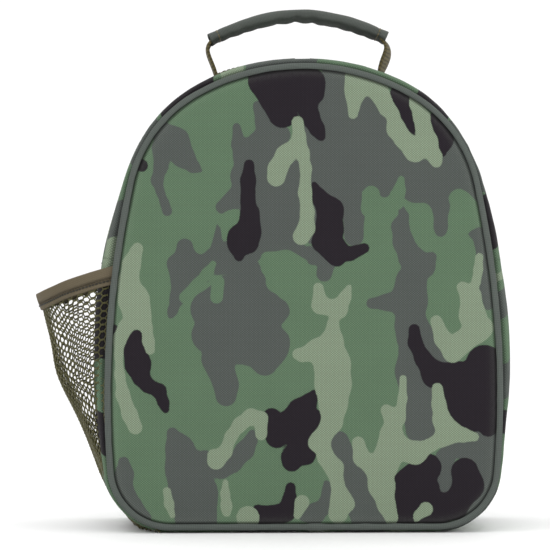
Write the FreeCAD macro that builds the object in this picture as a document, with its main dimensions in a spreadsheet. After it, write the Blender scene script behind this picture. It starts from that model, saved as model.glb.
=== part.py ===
"""Insulated cooler bag for a packed lunch: an arch-shaped soft box with piped front and back panels.

Frame: millimetres, +X to the right of someone who faces the front, +Y from front to back, +Z up. The origin
is the middle of the footprint, on the surface that the bag stands on.

The front strip of the gusset and the upper front panel form a lid. A two-way zip joins the lid to the bag,
and the lid folds forward about a crease across the front panel. Every wall is an outer fabric, an insulation
board and a liner. A mesh pocket hangs on the left side, and a padded grip on webbing stands on the top.
"""
import FreeCAD, Part
import math
import os
import Sketcher

doc = FreeCAD.newDocument("cooler_bag")
V = FreeCAD.Vector

# ------------------------------------------------------------------------------------ driving dimensions

SIZES = (
    # the arch outline, measured over the piping
    ("half_width", 100.9, "half the width over the piping, at the widest height"),
    ("widest_height", 70, "height of the widest place"),
    ("outline_top", 237.6, "top of the piping"),
    ("outline_bottom", 1.4, "bottom of the piping"),
    ("top_radius", 112, "crown of the arch"),
    ("shoulder_radius", 70, "shoulders of the arch"),
    ("side_radius", 492, "slightly bowed sides"),
    ("corner_radius", 32, "bottom corners"),
    # depth, front to back
    ("half_depth", 48, "middle to the outer face of the front or back fabric"),
    ("piping_radius", 2.1, "cord in its bias strip"),
    ("piping_y", 46.5, "middle to the piping's own middle"),
    ("gusset_proud", 1.4, "gusset fabric beyond the piping"),
    ("gusset_half_depth", 44.4, "middle to the seams of the gusset"),
    # layers
    ("fabric", 1, "outer fabric with its coating"),
    ("foam", 5, "insulation board"),
    ("liner", 0.6, "wipe-clean liner"),
    ("panel_inset", 4.4, "edge of a fabric panel inside the outline, against the piping"),
    ("board_seam_gap", 0.4, "edge of a gusset's board to the gusset's seam"),
    ("board_inset", 5.8, "edge of a panel's board inside the outline, clear of the gusset's own board"),
    # zip
    ("zip_y", -22, "centre of the zip"),
    ("zip_reveal", 6, "centre of the zip to the folded edge of the gusset"),
    ("zip_end_height", 147, "where the zip stops, on both sides"),
    ("tape_drop", 3, "zip tape below the gusset's outer face"),
    ("tape", 0.6, "thickness of the zip tape"),
    ("tape_edge", 10, "centre of the zip to the outer edge of a tape"),
    ("board_edge", 10.6, "centre of the zip to the gusset's board"),
    ("teeth_gap", 0.6, "centre of the zip to the teeth of one side"),
    ("teeth_edge", 2.5, "centre of the zip to the far side of the teeth"),
    ("teeth_height", 1.4, "teeth above the tape"),
    # lid
    ("fold_height", 138, "crease across the front panel"),
    ("fold_gap", 0.4, "clear space along the crease"),
    ("tab_clearance", 0.3, "zip end tab to the lid"),
    # bias bindings over the inner seams
    ("binding_width", 9, "along the gusset"),
    ("binding_thickness", 2.4, "away from the liner"),
    ("binding_gap", 0.2, "binding to the liners"),
    # sliders, drawn on the crown of the zip
    ("slider_angle", 3.6, "each slider from the middle, about the crown's centre, in degrees"),
    ("slider_length", 11, "along the zip"),
    ("slider_width", 8, "across the zip"),
    ("slider_plate", 1, "upper and lower plate"),
    ("slider_rise", 1.1, "upper plate above the teeth, where the lid's teeth slip out"),
    ("slider_drop", 0.4, "lower plate below the tape"),
    ("post_length", 5, "post between the rows of teeth"),
    ("post_width", 0.8, "post between the rows of teeth"),
    ("bridge_half_length", 3.4, "bridge over the pull's crossbar"),
    ("bridge_width", 1.6, "across the zip"),
    ("bridge_thickness", 0.8, "bar and legs"),
    ("bridge_opening", 1.9, "clear height under the bar"),
    ("pull_height", 0.9, "crossbar's middle above the upper plate"),
    ("pull_length", 16, "crossbar to the free end"),
    ("pull_width", 6, "across the zip"),
    ("pull_thickness", 1.2, "tab and crossbar"),
    ("eye_width", 3.2, "eye of the pull, across"),
    ("eye_end", 4.8, "crossbar's middle to the far end of the eye"),
    # handle
    ("handle_y", 14, "middle of the handle"),
    ("handle_axis_height", 241, "where the straps flex"),
    ("grip_radius", 84, "arch of the grip along its middle line"),
    ("grip_crown", 267.6, "height of the grip's middle line at its crown"),
    ("grip_width", 24, "front to back"),
    ("grip_height", 7, "top to bottom"),
    ("grip_rounding", 3.2, "edges of the sleeve"),
    ("grip_wall", 1, "sleeve around the foam"),
    ("strap_width", 20, "webbing"),
    ("strap", 1.4, "webbing"),
    ("strap_bend", 6, "bend of the webbing beside the grip, to its middle line"),
    ("strap_lean", 22.2, "angle from upright at which a strap leaves the gusset, in degrees"),
    ("strap_slot_gap", 0.1, "webbing to the grip's foam"),
    ("patch_length", 15, "sewn end of the webbing, along the gusset"),
    ("patch_gap", 0.6, "sewn end to the free webbing"),
    # side pocket
    ("pocket_half_depth", 44.2, "middle to the pocket's side seams"),
    ("pocket_rim_height", 134.8, "upper edge of the rim at the outline"),
    ("pocket_tilt", 20, "fall of the rim away from the bag, in degrees"),
    ("pocket_rim", 9.4, "binding around the mouth, top to bottom"),
    ("pocket_rim_thickness", 2.2, "binding folded over the mesh"),
    ("mesh", 1, "mesh of the pocket, over its strands"),
    ("pocket_gap", 0.3, "pocket to the gusset"),
    ("pocket_tuck", 2, "side seams of the pocket inside the outline, where the gusset trims them"),
)

# How far the pocket stands out from the middle of the bag, from the floor up to above its rim.
POCKET_REACH = (
    ("floor", 0, 85.5),
    ("toe", 7, 94.5),
    ("heel", 31, 108),
    ("waist", 69, 122.5),
    ("chest", 107, 135),
    ("brim", 140, 145),
)

sheet = doc.addObject("Spreadsheet::Sheet", "Sizes")
for row, (alias, value, note) in enumerate(SIZES, start=1):
    sheet.set(f"A{row}", alias)
    sheet.set(f"B{row}", str(value))
    sheet.set(f"C{row}", note)
    sheet.setAlias(f"B{row}", alias)
for row, (place, height, reach) in enumerate(POCKET_REACH, start=len(SIZES) + 1):
    sheet.set(f"A{row}", f"side pocket at its {place}: height, then reach from the middle of the bag")
    sheet.set(f"B{row}", str(height))
    sheet.set(f"C{row}", str(reach))
    sheet.setAlias(f"B{row}", f"{place}_height")
    sheet.setAlias(f"C{row}", f"{place}_reach")
doc.recompute()

FAR = 500.0


def evaluate(expression):
    """The value of an expression that names the sheet's cells as Sizes.alias."""
    return float(sheet.evalExpression(str(expression).replace("Sizes.", "")))


def size(alias):
    """A driving dimension, in millimetres or degrees."""
    return evaluate(alias)


# ------------------------------------------------------------------------------------ the arch outline

def outline_centres():
    """Centres of the crown, the right shoulder, the right side and the right bottom corner, as (x, z, 0)."""
    crown = V(0, size("outline_top") - size("top_radius"), 0)
    side = V(size("half_width") - size("side_radius"), size("widest_height"), 0)
    between = side - crown
    from_crown = size("top_radius") - size("shoulder_radius")
    from_side = size("side_radius") - size("shoulder_radius")
    along = (from_crown ** 2 - from_side ** 2 + between.Length ** 2) / (2 * between.Length)
    across = math.sqrt(from_crown ** 2 - along ** 2)
    unit = between / between.Length
    shoulder = crown + unit * along + V(unit.y, -unit.x, 0) * across
    corner_z = size("outline_bottom") + size("corner_radius")
    reach = size("side_radius") - size("corner_radius")
    corner_x = side.x + math.sqrt(reach ** 2 - (corner_z - side.y) ** 2)
    return crown, shoulder, side, V(corner_x, corner_z, 0)


def angle_of(vector):
    return math.atan2(vector.y, vector.x)


def mirrored(centre):
    return V(-centre.x, centre.y, 0)


CROWN, SHOULDER, SIDE, CORNER = outline_centres()
CROWN_ANGLE = angle_of(SHOULDER - CROWN)
SHOULDER_ANGLE = angle_of(SHOULDER - SIDE)
SIDE_ANGLE = angle_of(CORNER - SIDE)

# The arcs, counter-clockwise from the right end of the bottom line: radius, centre, first and last angle.
OUTLINE_ARCS = (
    ("corner_radius", CORNER, -math.pi / 2, SIDE_ANGLE),
    ("side_radius", SIDE, SIDE_ANGLE, SHOULDER_ANGLE),
    ("shoulder_radius", SHOULDER, SHOULDER_ANGLE, CROWN_ANGLE),
    ("top_radius", CROWN, CROWN_ANGLE, math.pi - CROWN_ANGLE),
    ("shoulder_radius", mirrored(SHOULDER), math.pi - CROWN_ANGLE, math.pi - SHOULDER_ANGLE),
    ("side_radius", mirrored(SIDE), math.pi - SHOULDER_ANGLE, math.pi - SIDE_ANGLE),
    ("corner_radius", mirrored(CORNER), math.pi - SIDE_ANGLE, 3 * math.pi / 2),
)


def outline_x(height):
    """Half-width of the outline at a height on its bottom corners or sides."""
    for radius, centre, first, last in OUTLINE_ARCS[:2]:
        low = centre.y + size(radius) * math.sin(first)
        high = centre.y + size(radius) * math.sin(last)
        if low <= height <= high:
            return centre.x + math.sqrt(size(radius) ** 2 - (height - centre.y) ** 2)
    raise ValueError(f"no side of the outline at height {height}")


# ------------------------------------------------------------------------------------ sketches

def plane_of(body, role):
    return next(feature for feature in body.Origin.OriginFeatures if feature.Role == role)


def new_body(label):
    body = doc.addObject("PartDesign::Body", label)
    body.Label = label
    return body


def place(body, x=0, y=0, z=0, turn=None):
    """Places a body by expressions, and turns it about its own Y axis by the expression turn, in degrees."""
    rotation = FreeCAD.Rotation(V(0, 1, 0), evaluate(turn) if turn else 0)
    body.Placement = FreeCAD.Placement(V(evaluate(x), evaluate(y), evaluate(z)), rotation)
    for axis, expression in (("x", x), ("y", y), ("z", z)):
        body.setExpression(f"Placement.Base.{axis}", str(expression))
    if turn:
        body.setExpression("Placement.Rotation.Angle", str(turn))


def new_sketch(body, name, role, offset="0"):
    """A sketch on one of the body's own origin planes, moved along its normal by the expression offset."""
    sketch = body.newObject("Sketcher::SketchObject", f"{body.Label}_{name}")
    sketch.AttachmentSupport = (plane_of(body, role), [""])
    sketch.MapMode = "FlatFace"
    sketch.AttachmentOffset = FreeCAD.Placement(V(0, 0, evaluate(offset)), FreeCAD.Rotation())
    sketch.setExpression("AttachmentOffset.Base.z", offset)
    return sketch


def bind(sketch, name, constraint, expression):
    """Adds a named dimension that follows an expression."""
    index = sketch.addConstraint(constraint)
    sketch.renameConstraint(index, name)
    sketch.setExpression(f"Constraints.{name}", expression)


def join_ends(sketch, first, count, kind="Coincident"):
    """Joins the end of each of count edges to the start of the next, and the last to the first."""
    for step in range(count):
        following = first + (step + 1) % count
        sketch.addConstraint(Sketcher.Constraint(kind, first + step, 2, following, 1))


def fix_centre(sketch, arc, centre):
    if abs(centre.x) < 1e-9:
        sketch.addConstraint(Sketcher.Constraint("PointOnObject", arc, 3, -2))
    else:
        sketch.addConstraint(Sketcher.Constraint("DistanceX", -1, 1, arc, 3, centre.x))
    sketch.addConstraint(Sketcher.Constraint("DistanceY", -1, 1, arc, 3, centre.y))


def add_outline(sketch, name, grow):
    """Draws the closed arch outline, grown by the expression grow, from tangent arcs bound to the sheet."""
    offset = evaluate(grow)
    first = sketch.GeometryCount
    for radius, centre, start, end in OUTLINE_ARCS:
        circle = Part.Circle(centre, V(0, 0, 1), size(radius) + offset)
        sketch.addGeometry(Part.ArcOfCircle(circle, start, end), False)
    floor = size("outline_bottom") - offset
    sketch.addGeometry(Part.LineSegment(V(-CORNER.x, floor, 0), V(CORNER.x, floor, 0)), False)
    join_ends(sketch, first, 8, "Tangent")
    for number, (radius, centre, start, end) in enumerate(OUTLINE_ARCS):
        value = Sketcher.Constraint("Radius", first + number, size(radius) + offset)
        bind(sketch, f"{name}_arc_{number}", value, f"Sizes.{radius} + ({grow})")
    fix_centre(sketch, first + 3, CROWN)
    fix_centre(sketch, first + 1, SIDE)
    fix_centre(sketch, first + 5, mirrored(SIDE))
    sketch.addConstraint(Sketcher.Constraint("Horizontal", first + 7))
    value = Sketcher.Constraint("DistanceY", -1, 1, first + 7, 1, floor)
    bind(sketch, f"{name}_floor", value, f"Sizes.outline_bottom - ({grow})")


def add_rectangle(sketch, name, left, right, bottom, top):
    """Draws a rectangle between four expressions, each edge bound to its own."""
    x0, x1, y0, y1 = (evaluate(edge) for edge in (left, right, bottom, top))
    corners = [V(x0, y0, 0), V(x1, y0, 0), V(x1, y1, 0), V(x0, y1, 0)]
    first = sketch.GeometryCount
    for start, end in zip(corners, corners[1:] + corners[:1]):
        sketch.addGeometry(Part.LineSegment(start, end), False)
    join_ends(sketch, first, 4)
    for edge, kind in enumerate(("Horizontal", "Vertical", "Horizontal", "Vertical")):
        sketch.addConstraint(Sketcher.Constraint(kind, first + edge))
    for tag, kind, edge, value, expression in (
            ("bottom", "DistanceY", 0, y0, bottom), ("right", "DistanceX", 1, x1, right),
            ("top", "DistanceY", 2, y1, top), ("left", "DistanceX", 3, x0, left)):
        distance = Sketcher.Constraint(kind, -1, 1, first + edge, 1, value)
        bind(sketch, f"{name}_{tag}", distance, str(expression))


def add_rounded_rectangle(sketch, name, width, height, middle, rounding):
    """Draws a rectangle with rounded corners about the point (0, middle), all from expressions."""
    half_w, half_h = evaluate(width) / 2, evaluate(height) / 2
    centre_y, radius = evaluate(middle), evaluate(rounding)
    first = sketch.GeometryCount
    for quarter, (sx, sy) in enumerate(((1, 1), (-1, 1), (-1, -1), (1, -1))):
        centre = V(sx * (half_w - radius), centre_y + sy * (half_h - radius), 0)
        circle = Part.Circle(centre, V(0, 0, 1), radius)
        start = quarter * math.pi / 2
        sketch.addGeometry(Part.ArcOfCircle(circle, start, start + math.pi / 2), False)
        step = math.pi / 2
        along = V(-sx, 0, 0) if quarter % 2 == 0 else V(0, -sy, 0)
        run = 2 * (half_w - radius) if quarter % 2 == 0 else 2 * (half_h - radius)
        begin = centre + V(math.cos(start + step), math.sin(start + step), 0) * radius
        sketch.addGeometry(Part.LineSegment(begin, begin + along * run), False)
    join_ends(sketch, first, 8, "Tangent")
    for number in range(4):
        value = Sketcher.Constraint("Radius", first + 2 * number, radius)
        bind(sketch, f"{name}_rounding_{number}", value, rounding)
    top = Sketcher.Constraint("DistanceY", -1, 1, first + 1, 1, centre_y + half_h)
    bind(sketch, f"{name}_top", top, f"({middle}) + ({height}) / 2")
    bottom = Sketcher.Constraint("DistanceY", -1, 1, first + 5, 1, centre_y - half_h)
    bind(sketch, f"{name}_bottom", bottom, f"({middle}) - ({height}) / 2")
    right = Sketcher.Constraint("DistanceX", -1, 1, first, 1, half_w)
    bind(sketch, f"{name}_right", right, f"({width}) / 2")
    left = Sketcher.Constraint("DistanceX", first + 3, 1, -1, 1, half_w)
    bind(sketch, f"{name}_left", left, f"({width}) / 2")


# ------------------------------------------------------------------------------------ features

def pad(body, sketch, length, reversed_=False):
    feature = body.newObject("PartDesign::Pad", sketch.Name + "_pad")
    feature.Profile = sketch
    feature.Reversed = reversed_
    feature.Length = evaluate(length)
    feature.setExpression("Length", str(length))
    body.Tip = feature
    doc.recompute()


def pocket_through(body, sketch):
    """Cuts a sketch through the whole body, both ways, and makes sure that it cut something."""
    before = body.Shape.Volume
    feature = body.newObject("PartDesign::Pocket", sketch.Name + "_cut")
    feature.Profile = sketch
    feature.Type = "ThroughAll"
    feature.Midplane = True
    body.Tip = feature
    doc.recompute()
    if not 0 < body.Shape.Volume < before - 1e-6:
        raise RuntimeError(f"{body.Label}: {sketch.Name} cut nothing")


def keep_between(body, low=None, high=None):
    """Cuts away what lies under the expression low or over the expression high."""
    if low is not None:
        sketch = new_sketch(body, "under", "YZ_Plane")
        add_rectangle(sketch, "under", -FAR, FAR, -FAR, low)
        pocket_through(body, sketch)
    if high is not None:
        sketch = new_sketch(body, "over", "YZ_Plane")
        add_rectangle(sketch, "over", -FAR, FAR, high, FAR)
        pocket_through(body, sketch)


def arch_plate(label, inset, front, thickness, low=None, high=None):
    """A flat layer whose edge is the outline moved in. front is the y of the face nearest the front."""
    body = new_body(label)
    sketch = new_sketch(body, "outline", "XZ_Plane", f"-({front})")
    add_outline(sketch, "edge", f"-({inset})")
    pad(body, sketch, thickness, reversed_=True)
    keep_between(body, low, high)


def arch_band(label, outer, thickness, front, back, low=None, high=None, lip=None):
    """A layer that follows the outline between two depths. outer is how far it stands beyond the outline.

    lip is the depth where a folded hem reaches down to the zip tape, as (front, back).
    """
    body = new_body(label)
    sketch = new_sketch(body, "section", "XZ_Plane", f"-({front})")
    add_outline(sketch, "outer", outer)
    add_outline(sketch, "inner", f"({outer}) - ({thickness})")
    pad(body, sketch, f"({back}) - ({front})", reversed_=True)
    if lip is not None:
        hem = new_sketch(body, "hem", "XZ_Plane", f"-({lip[0]})")
        add_outline(hem, "outer", outer)
        add_outline(hem, "inner", f"({outer}) - Sizes.tape_drop")
        pad(body, hem, f"({lip[1]}) - ({lip[0]})", reversed_=True)
    keep_between(body, low, high)


# ------------------------------------------------------------------------------------ shell of the bag

FOLD_BELOW = "Sizes.fold_height - Sizes.fold_gap / 2"
FOLD_ABOVE = "Sizes.fold_height + Sizes.fold_gap / 2"
BOARD_OUTER = "Sizes.gusset_proud - Sizes.fabric"
LINER_OUTER = "Sizes.gusset_proud - Sizes.fabric - Sizes.foam"
BINDING_OUTER = "Sizes.gusset_proud - Sizes.fabric - Sizes.foam - Sizes.liner - Sizes.binding_gap"
LINER_FACE = "(Sizes.half_depth - Sizes.fabric - Sizes.foam - Sizes.liner)"
SEAM = "Sizes.gusset_half_depth"
BOARD_SEAM = "(Sizes.gusset_half_depth - Sizes.board_seam_gap)"


def make_piping(label, y, low=None, high=None):
    """Piping: a cord in a bias strip, sewn into the seam around a panel."""
    body = new_body(label)
    path = new_sketch(body, "path", "XZ_Plane", f"-({y})")
    add_outline(path, "middle", "-Sizes.piping_radius")
    section = new_sketch(body, "cord", "YZ_Plane")
    centre = V(evaluate(y), size("outline_top") - size("piping_radius"), 0)
    circle = section.addGeometry(Part.Circle(centre, V(0, 0, 1), size("piping_radius")), False)
    bind(section, "cord_radius", Sketcher.Constraint("Radius", circle, size("piping_radius")),
         "Sizes.piping_radius")
    bind(section, "cord_height", Sketcher.Constraint("DistanceY", -1, 1, circle, 3, centre.y),
         "Sizes.outline_top - Sizes.piping_radius")
    bind(section, "cord_depth", Sketcher.Constraint("DistanceX", -1, 1, circle, 3, centre.x), y)
    pipe = body.newObject("PartDesign::AdditivePipe", label + "_pipe")
    pipe.Profile = section
    pipe.Spine = path
    body.Tip = pipe
    doc.recompute()
    keep_between(body, low, high)


def make_back():
    arch_plate("back_panel", "Sizes.panel_inset", "Sizes.half_depth - Sizes.fabric", "Sizes.fabric")
    arch_plate("back_board", "Sizes.board_inset", "Sizes.half_depth - Sizes.fabric - Sizes.foam",
               "Sizes.foam")
    arch_plate("back_liner", "Sizes.board_inset", LINER_FACE, "Sizes.liner")
    make_piping("back_piping", "Sizes.piping_y")


def make_front(name, low, high):
    """The front wall on one side of the crease."""
    arch_plate(f"{name}_front_panel", "Sizes.panel_inset", "-Sizes.half_depth", "Sizes.fabric", low, high)
    arch_plate(f"{name}_front_board", "Sizes.board_inset", "-Sizes.half_depth + Sizes.fabric", "Sizes.foam",
               low, high)
    arch_plate(f"{name}_front_liner", "Sizes.board_inset", f"-{LINER_FACE} - Sizes.liner", "Sizes.liner",
               low, high)
    make_piping(f"{name}_front_piping", "-Sizes.piping_y", low, high)


def make_base_gusset():
    """The U-shaped strip that is both sides and the base, as deep as the bag."""
    arch_band("base_gusset", "Sizes.gusset_proud", "Sizes.fabric", f"-{SEAM}", SEAM, high=FOLD_BELOW)
    arch_band("base_board", BOARD_OUTER, "Sizes.foam", f"-{BOARD_SEAM}", BOARD_SEAM, high=FOLD_BELOW)
    arch_band("base_liner", LINER_OUTER, "Sizes.liner", f"-{LINER_FACE}", LINER_FACE, high=FOLD_BELOW)


def make_zip_strips():
    """The strips of gusset on the two sides of the zip: the bag keeps the rear one, the lid the front one."""
    rear_edge = "(Sizes.zip_y + Sizes.zip_reveal)"
    front_edge = "(Sizes.zip_y - Sizes.zip_reveal)"
    arch_band("rear_gusset", "Sizes.gusset_proud", "Sizes.fabric", rear_edge, SEAM, low=FOLD_BELOW,
              lip=(rear_edge, f"{rear_edge} + Sizes.fabric"))
    arch_band("rear_gusset_board", BOARD_OUTER, "Sizes.foam", "Sizes.zip_y + Sizes.board_edge",
              BOARD_SEAM, low=FOLD_BELOW)
    arch_band("rear_gusset_liner", LINER_OUTER, "Sizes.liner", "Sizes.zip_y + Sizes.board_edge", LINER_FACE,
              low=FOLD_BELOW)
    arch_band("lid_gusset", "Sizes.gusset_proud", "Sizes.fabric", f"-{SEAM}", front_edge, low=FOLD_ABOVE,
              lip=(f"{front_edge} - Sizes.fabric", front_edge))
    arch_band("lid_gusset_board", BOARD_OUTER, "Sizes.foam", f"-{BOARD_SEAM}",
              "Sizes.zip_y - Sizes.board_edge", low=FOLD_ABOVE)
    arch_band("lid_gusset_liner", LINER_OUTER, "Sizes.liner", f"-{LINER_FACE}",
              "Sizes.zip_y - Sizes.board_edge", low=FOLD_ABOVE)


def make_seam_bindings():
    """Bias bindings over the seams inside, where the panels meet the gusset."""
    near = f"{LINER_FACE} - Sizes.binding_gap"
    far = f"{LINER_FACE} - Sizes.binding_gap - Sizes.binding_width"
    arch_band("back_seam_binding", BINDING_OUTER, "Sizes.binding_thickness", far, near)
    arch_band("base_seam_binding", BINDING_OUTER, "Sizes.binding_thickness", f"-({near})", f"-({far})",
              high=FOLD_BELOW)
    arch_band("lid_seam_binding", BINDING_OUTER, "Sizes.binding_thickness", f"-({near})", f"-({far})",
              low=FOLD_ABOVE)


# ------------------------------------------------------------------------------------ zip

TAPE_OUTER = "Sizes.gusset_proud - Sizes.tape_drop"
TEETH_OUTER = "Sizes.gusset_proud - Sizes.tape_drop + Sizes.teeth_height"


def make_zip():
    """Two tapes with their rows of teeth, over the top from one zip end to the other, and the end tabs."""
    low = "Sizes.zip_end_height"
    arch_band("rear_zip_tape", TAPE_OUTER, "Sizes.tape", "Sizes.zip_y + Sizes.teeth_gap",
              "Sizes.zip_y + Sizes.tape_edge", low=low)
    arch_band("rear_zip_teeth", TEETH_OUTER, "Sizes.teeth_height", "Sizes.zip_y + Sizes.teeth_gap",
              "Sizes.zip_y + Sizes.teeth_edge", low=low)
    arch_band("lid_zip_tape", TAPE_OUTER, "Sizes.tape", "Sizes.zip_y - Sizes.tape_edge",
              "Sizes.zip_y - Sizes.teeth_gap", low=low)
    arch_band("lid_zip_teeth", TEETH_OUTER, "Sizes.teeth_height", "Sizes.zip_y - Sizes.teeth_edge",
              "Sizes.zip_y - Sizes.teeth_gap", low=low)
    arch_band("zip_end_tabs", "Sizes.gusset_proud", "Sizes.fabric",
              "Sizes.zip_y - Sizes.zip_reveal + Sizes.tab_clearance", "Sizes.zip_y + Sizes.zip_reveal",
              low=FOLD_BELOW, high=low)


CROWN_HEIGHT = "Sizes.outline_top - Sizes.top_radius"
TEETH_TOP = f"(Sizes.top_radius + {TEETH_OUTER})"
UPPER_PLATE = f"({TEETH_TOP} + Sizes.slider_rise)"
PLATE_TOP = f"({UPPER_PLATE} + Sizes.slider_plate)"
LOWER_PLATE = f"(Sizes.top_radius + {TAPE_OUTER} - Sizes.tape - Sizes.slider_drop)"


def add_block(body, name, length, width, bottom, height, middle="0"):
    """A block on the body's X axis at middle, centred across it, from the expression bottom upwards."""
    sketch = new_sketch(body, name, "XY_Plane", bottom)
    add_rectangle(sketch, name, f"({middle}) - ({length}) / 2", f"({middle}) + ({length}) / 2",
                  f"-({width}) / 2", f"({width}) / 2")
    pad(body, sketch, height)


def make_slider(label, turn):
    """A slider: two plates around a post, and a bridge that holds the pull's crossbar."""
    body = new_body(label)
    add_block(body, "lower_plate", "Sizes.slider_length", "Sizes.slider_width",
              f"{LOWER_PLATE} - Sizes.slider_plate", "Sizes.slider_plate")
    add_block(body, "post", "Sizes.post_length", "Sizes.post_width", LOWER_PLATE,
              f"{UPPER_PLATE} - {LOWER_PLATE}")
    add_block(body, "upper_plate", "Sizes.slider_length", "Sizes.slider_width", UPPER_PLATE,
              "Sizes.slider_plate")
    leg = "(Sizes.bridge_half_length - Sizes.bridge_thickness / 2)"
    add_block(body, "inner_leg", "Sizes.bridge_thickness", "Sizes.bridge_width", PLATE_TOP,
              "Sizes.bridge_opening", f"-{leg}")
    add_block(body, "outer_leg", "Sizes.bridge_thickness", "Sizes.bridge_width", PLATE_TOP,
              "Sizes.bridge_opening", leg)
    add_block(body, "bar", "2 * Sizes.bridge_half_length", "Sizes.bridge_width",
              f"{PLATE_TOP} + Sizes.bridge_opening", "Sizes.bridge_thickness")
    place(body, 0, "Sizes.zip_y", CROWN_HEIGHT, turn)


def make_pull(label, turn, side):
    """A pull: a flat tab with an eye, whose end is a round crossbar under the slider's bridge."""
    body = new_body(label)
    height = f"({PLATE_TOP} + Sizes.pull_height)"
    bar = new_sketch(body, "crossbar", "XZ_Plane", "-Sizes.pull_width / 2")
    circle = bar.addGeometry(Part.Circle(V(0, evaluate(height), 0), V(0, 0, 1), size("pull_thickness") / 2))
    bind(bar, "crossbar_radius", Sketcher.Constraint("Radius", circle, size("pull_thickness") / 2),
         "Sizes.pull_thickness / 2")
    bind(bar, "crossbar_height", Sketcher.Constraint("DistanceY", -1, 1, circle, 3, evaluate(height)), height)
    bar.addConstraint(Sketcher.Constraint("PointOnObject", circle, 3, -2))
    pad(body, bar, "Sizes.pull_width")
    tab = new_sketch(body, "tab", "XY_Plane", f"{height} - Sizes.pull_thickness / 2")
    near, far = ("0", f"{side} * Sizes.pull_length")
    left, right = (near, far) if side > 0 else (far, near)
    add_rectangle(tab, "tab", left, right, "-Sizes.pull_width / 2", "Sizes.pull_width / 2")
    pad(body, tab, "Sizes.pull_thickness")
    eye = new_sketch(body, "eye", "XY_Plane", height)
    near, far = (f"{side} * Sizes.pull_thickness / 2", f"{side} * Sizes.eye_end")
    left, right = (near, far) if side > 0 else (far, near)
    add_rectangle(eye, "eye", left, right, "-Sizes.eye_width / 2", "Sizes.eye_width / 2")
    pocket_through(body, eye)
    place(body, 0, "Sizes.zip_y", CROWN_HEIGHT, turn)


# ------------------------------------------------------------------------------------ handle

GRIP_CENTRE = "(Sizes.grip_crown - Sizes.grip_radius)"


def strap_bend_geometry():
    """Centre of the strap's bend on the right, and the angle from upright at which the grip's arch ends.

    The bend is tangent to the arch of the grip, inside it, and to the straight that leaves the gusset.
    """
    lean = math.radians(size("strap_lean"))
    outward = V(math.cos(lean), -math.sin(lean), 0)
    upward = V(math.sin(lean), math.cos(lean), 0)
    base = CROWN - outward * size("strap_bend")
    centre = V(0, evaluate(GRIP_CENTRE), 0)
    reach = size("grip_radius") - size("strap_bend")
    along = (centre - base).dot(upward)
    across = (centre - base) - upward * along
    bend = base + upward * (along + math.sqrt(reach ** 2 - across.Length ** 2))
    return bend, math.pi / 2 - angle_of(bend - centre)


BEND, GRIP_ANGLE = strap_bend_geometry()


def make_strap():
    """The webbing: up from the gusset, over a bend on each side, and through the grip in an arch."""
    body = new_body("handle_strap")
    lean = math.radians(size("strap_lean"))
    foot_reach = size("top_radius") + size("gusset_proud")
    outward = V(math.cos(lean), -math.sin(lean), 0)
    upward = V(math.sin(lean), math.cos(lean), 0)
    centre = V(0, evaluate(GRIP_CENTRE), 0)
    sketch = new_sketch(body, "band", "XZ_Plane", "-(Sizes.handle_y - Sizes.strap_width / 2)")
    half = size("strap") / 2
    sides = []
    for offset in (half, -half):
        foot = CROWN + upward * foot_reach + outward * offset
        knee = BEND + outward * (size("strap_bend") + offset)
        bend = Part.ArcOfCircle(Part.Circle(BEND, V(0, 0, 1), size("strap_bend") + offset),
                                -lean, math.pi / 2 - GRIP_ANGLE)
        left_bend = Part.ArcOfCircle(Part.Circle(mirrored(BEND), V(0, 0, 1), size("strap_bend") + offset),
                                     math.pi / 2 + GRIP_ANGLE, math.pi + lean)
        arch = Part.ArcOfCircle(Part.Circle(centre, V(0, 0, 1), size("grip_radius") + offset),
                                math.pi / 2 - GRIP_ANGLE, math.pi / 2 + GRIP_ANGLE)
        sides.append([Part.LineSegment(foot, knee), bend, arch, left_bend,
                      Part.LineSegment(mirrored(knee), mirrored(foot))])
    outer, inner = sides
    first = sketch.GeometryCount
    for edge in outer:
        sketch.addGeometry(edge, False)
    for edge in inner:
        sketch.addGeometry(edge, False)
    feet = [Part.LineSegment(mirrored(CROWN + upward * foot_reach + outward * half),
                             mirrored(CROWN + upward * foot_reach - outward * half)),
            Part.LineSegment(CROWN + upward * foot_reach - outward * half,
                             CROWN + upward * foot_reach + outward * half)]
    for edge in feet:
        sketch.addGeometry(edge, False)
    for side in (first, first + 5):
        for step in range(4):
            sketch.addConstraint(Sketcher.Constraint("Tangent", side + step, 2, side + step + 1, 1))
    sketch.addConstraint(Sketcher.Constraint("Coincident", first + 4, 2, first + 10, 1))
    sketch.addConstraint(Sketcher.Constraint("Coincident", first + 10, 2, first + 9, 2))
    sketch.addConstraint(Sketcher.Constraint("Coincident", first + 5, 1, first + 11, 1))
    sketch.addConstraint(Sketcher.Constraint("Coincident", first + 11, 2, first, 1))
    for side, sign, offset in ((first, "+", half), (first + 5, "-", -half)):
        value = Sketcher.Constraint("Radius", side + 2, size("grip_radius") + offset)
        bind(sketch, f"arch_{side}", value, f"Sizes.grip_radius {sign} Sizes.strap / 2")
        for bend in (side + 1, side + 3):
            value = Sketcher.Constraint("Radius", bend, size("strap_bend") + offset)
            bind(sketch, f"bend_{bend}", value, f"Sizes.strap_bend {sign} Sizes.strap / 2")
    pad(body, sketch, "Sizes.strap_width", reversed_=True)
    round_the_feet(body)
    return body


# How far the cut that rounds the strap's feet goes beyond the webbing.
FOOT_CLEARANCE = 2


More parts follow.
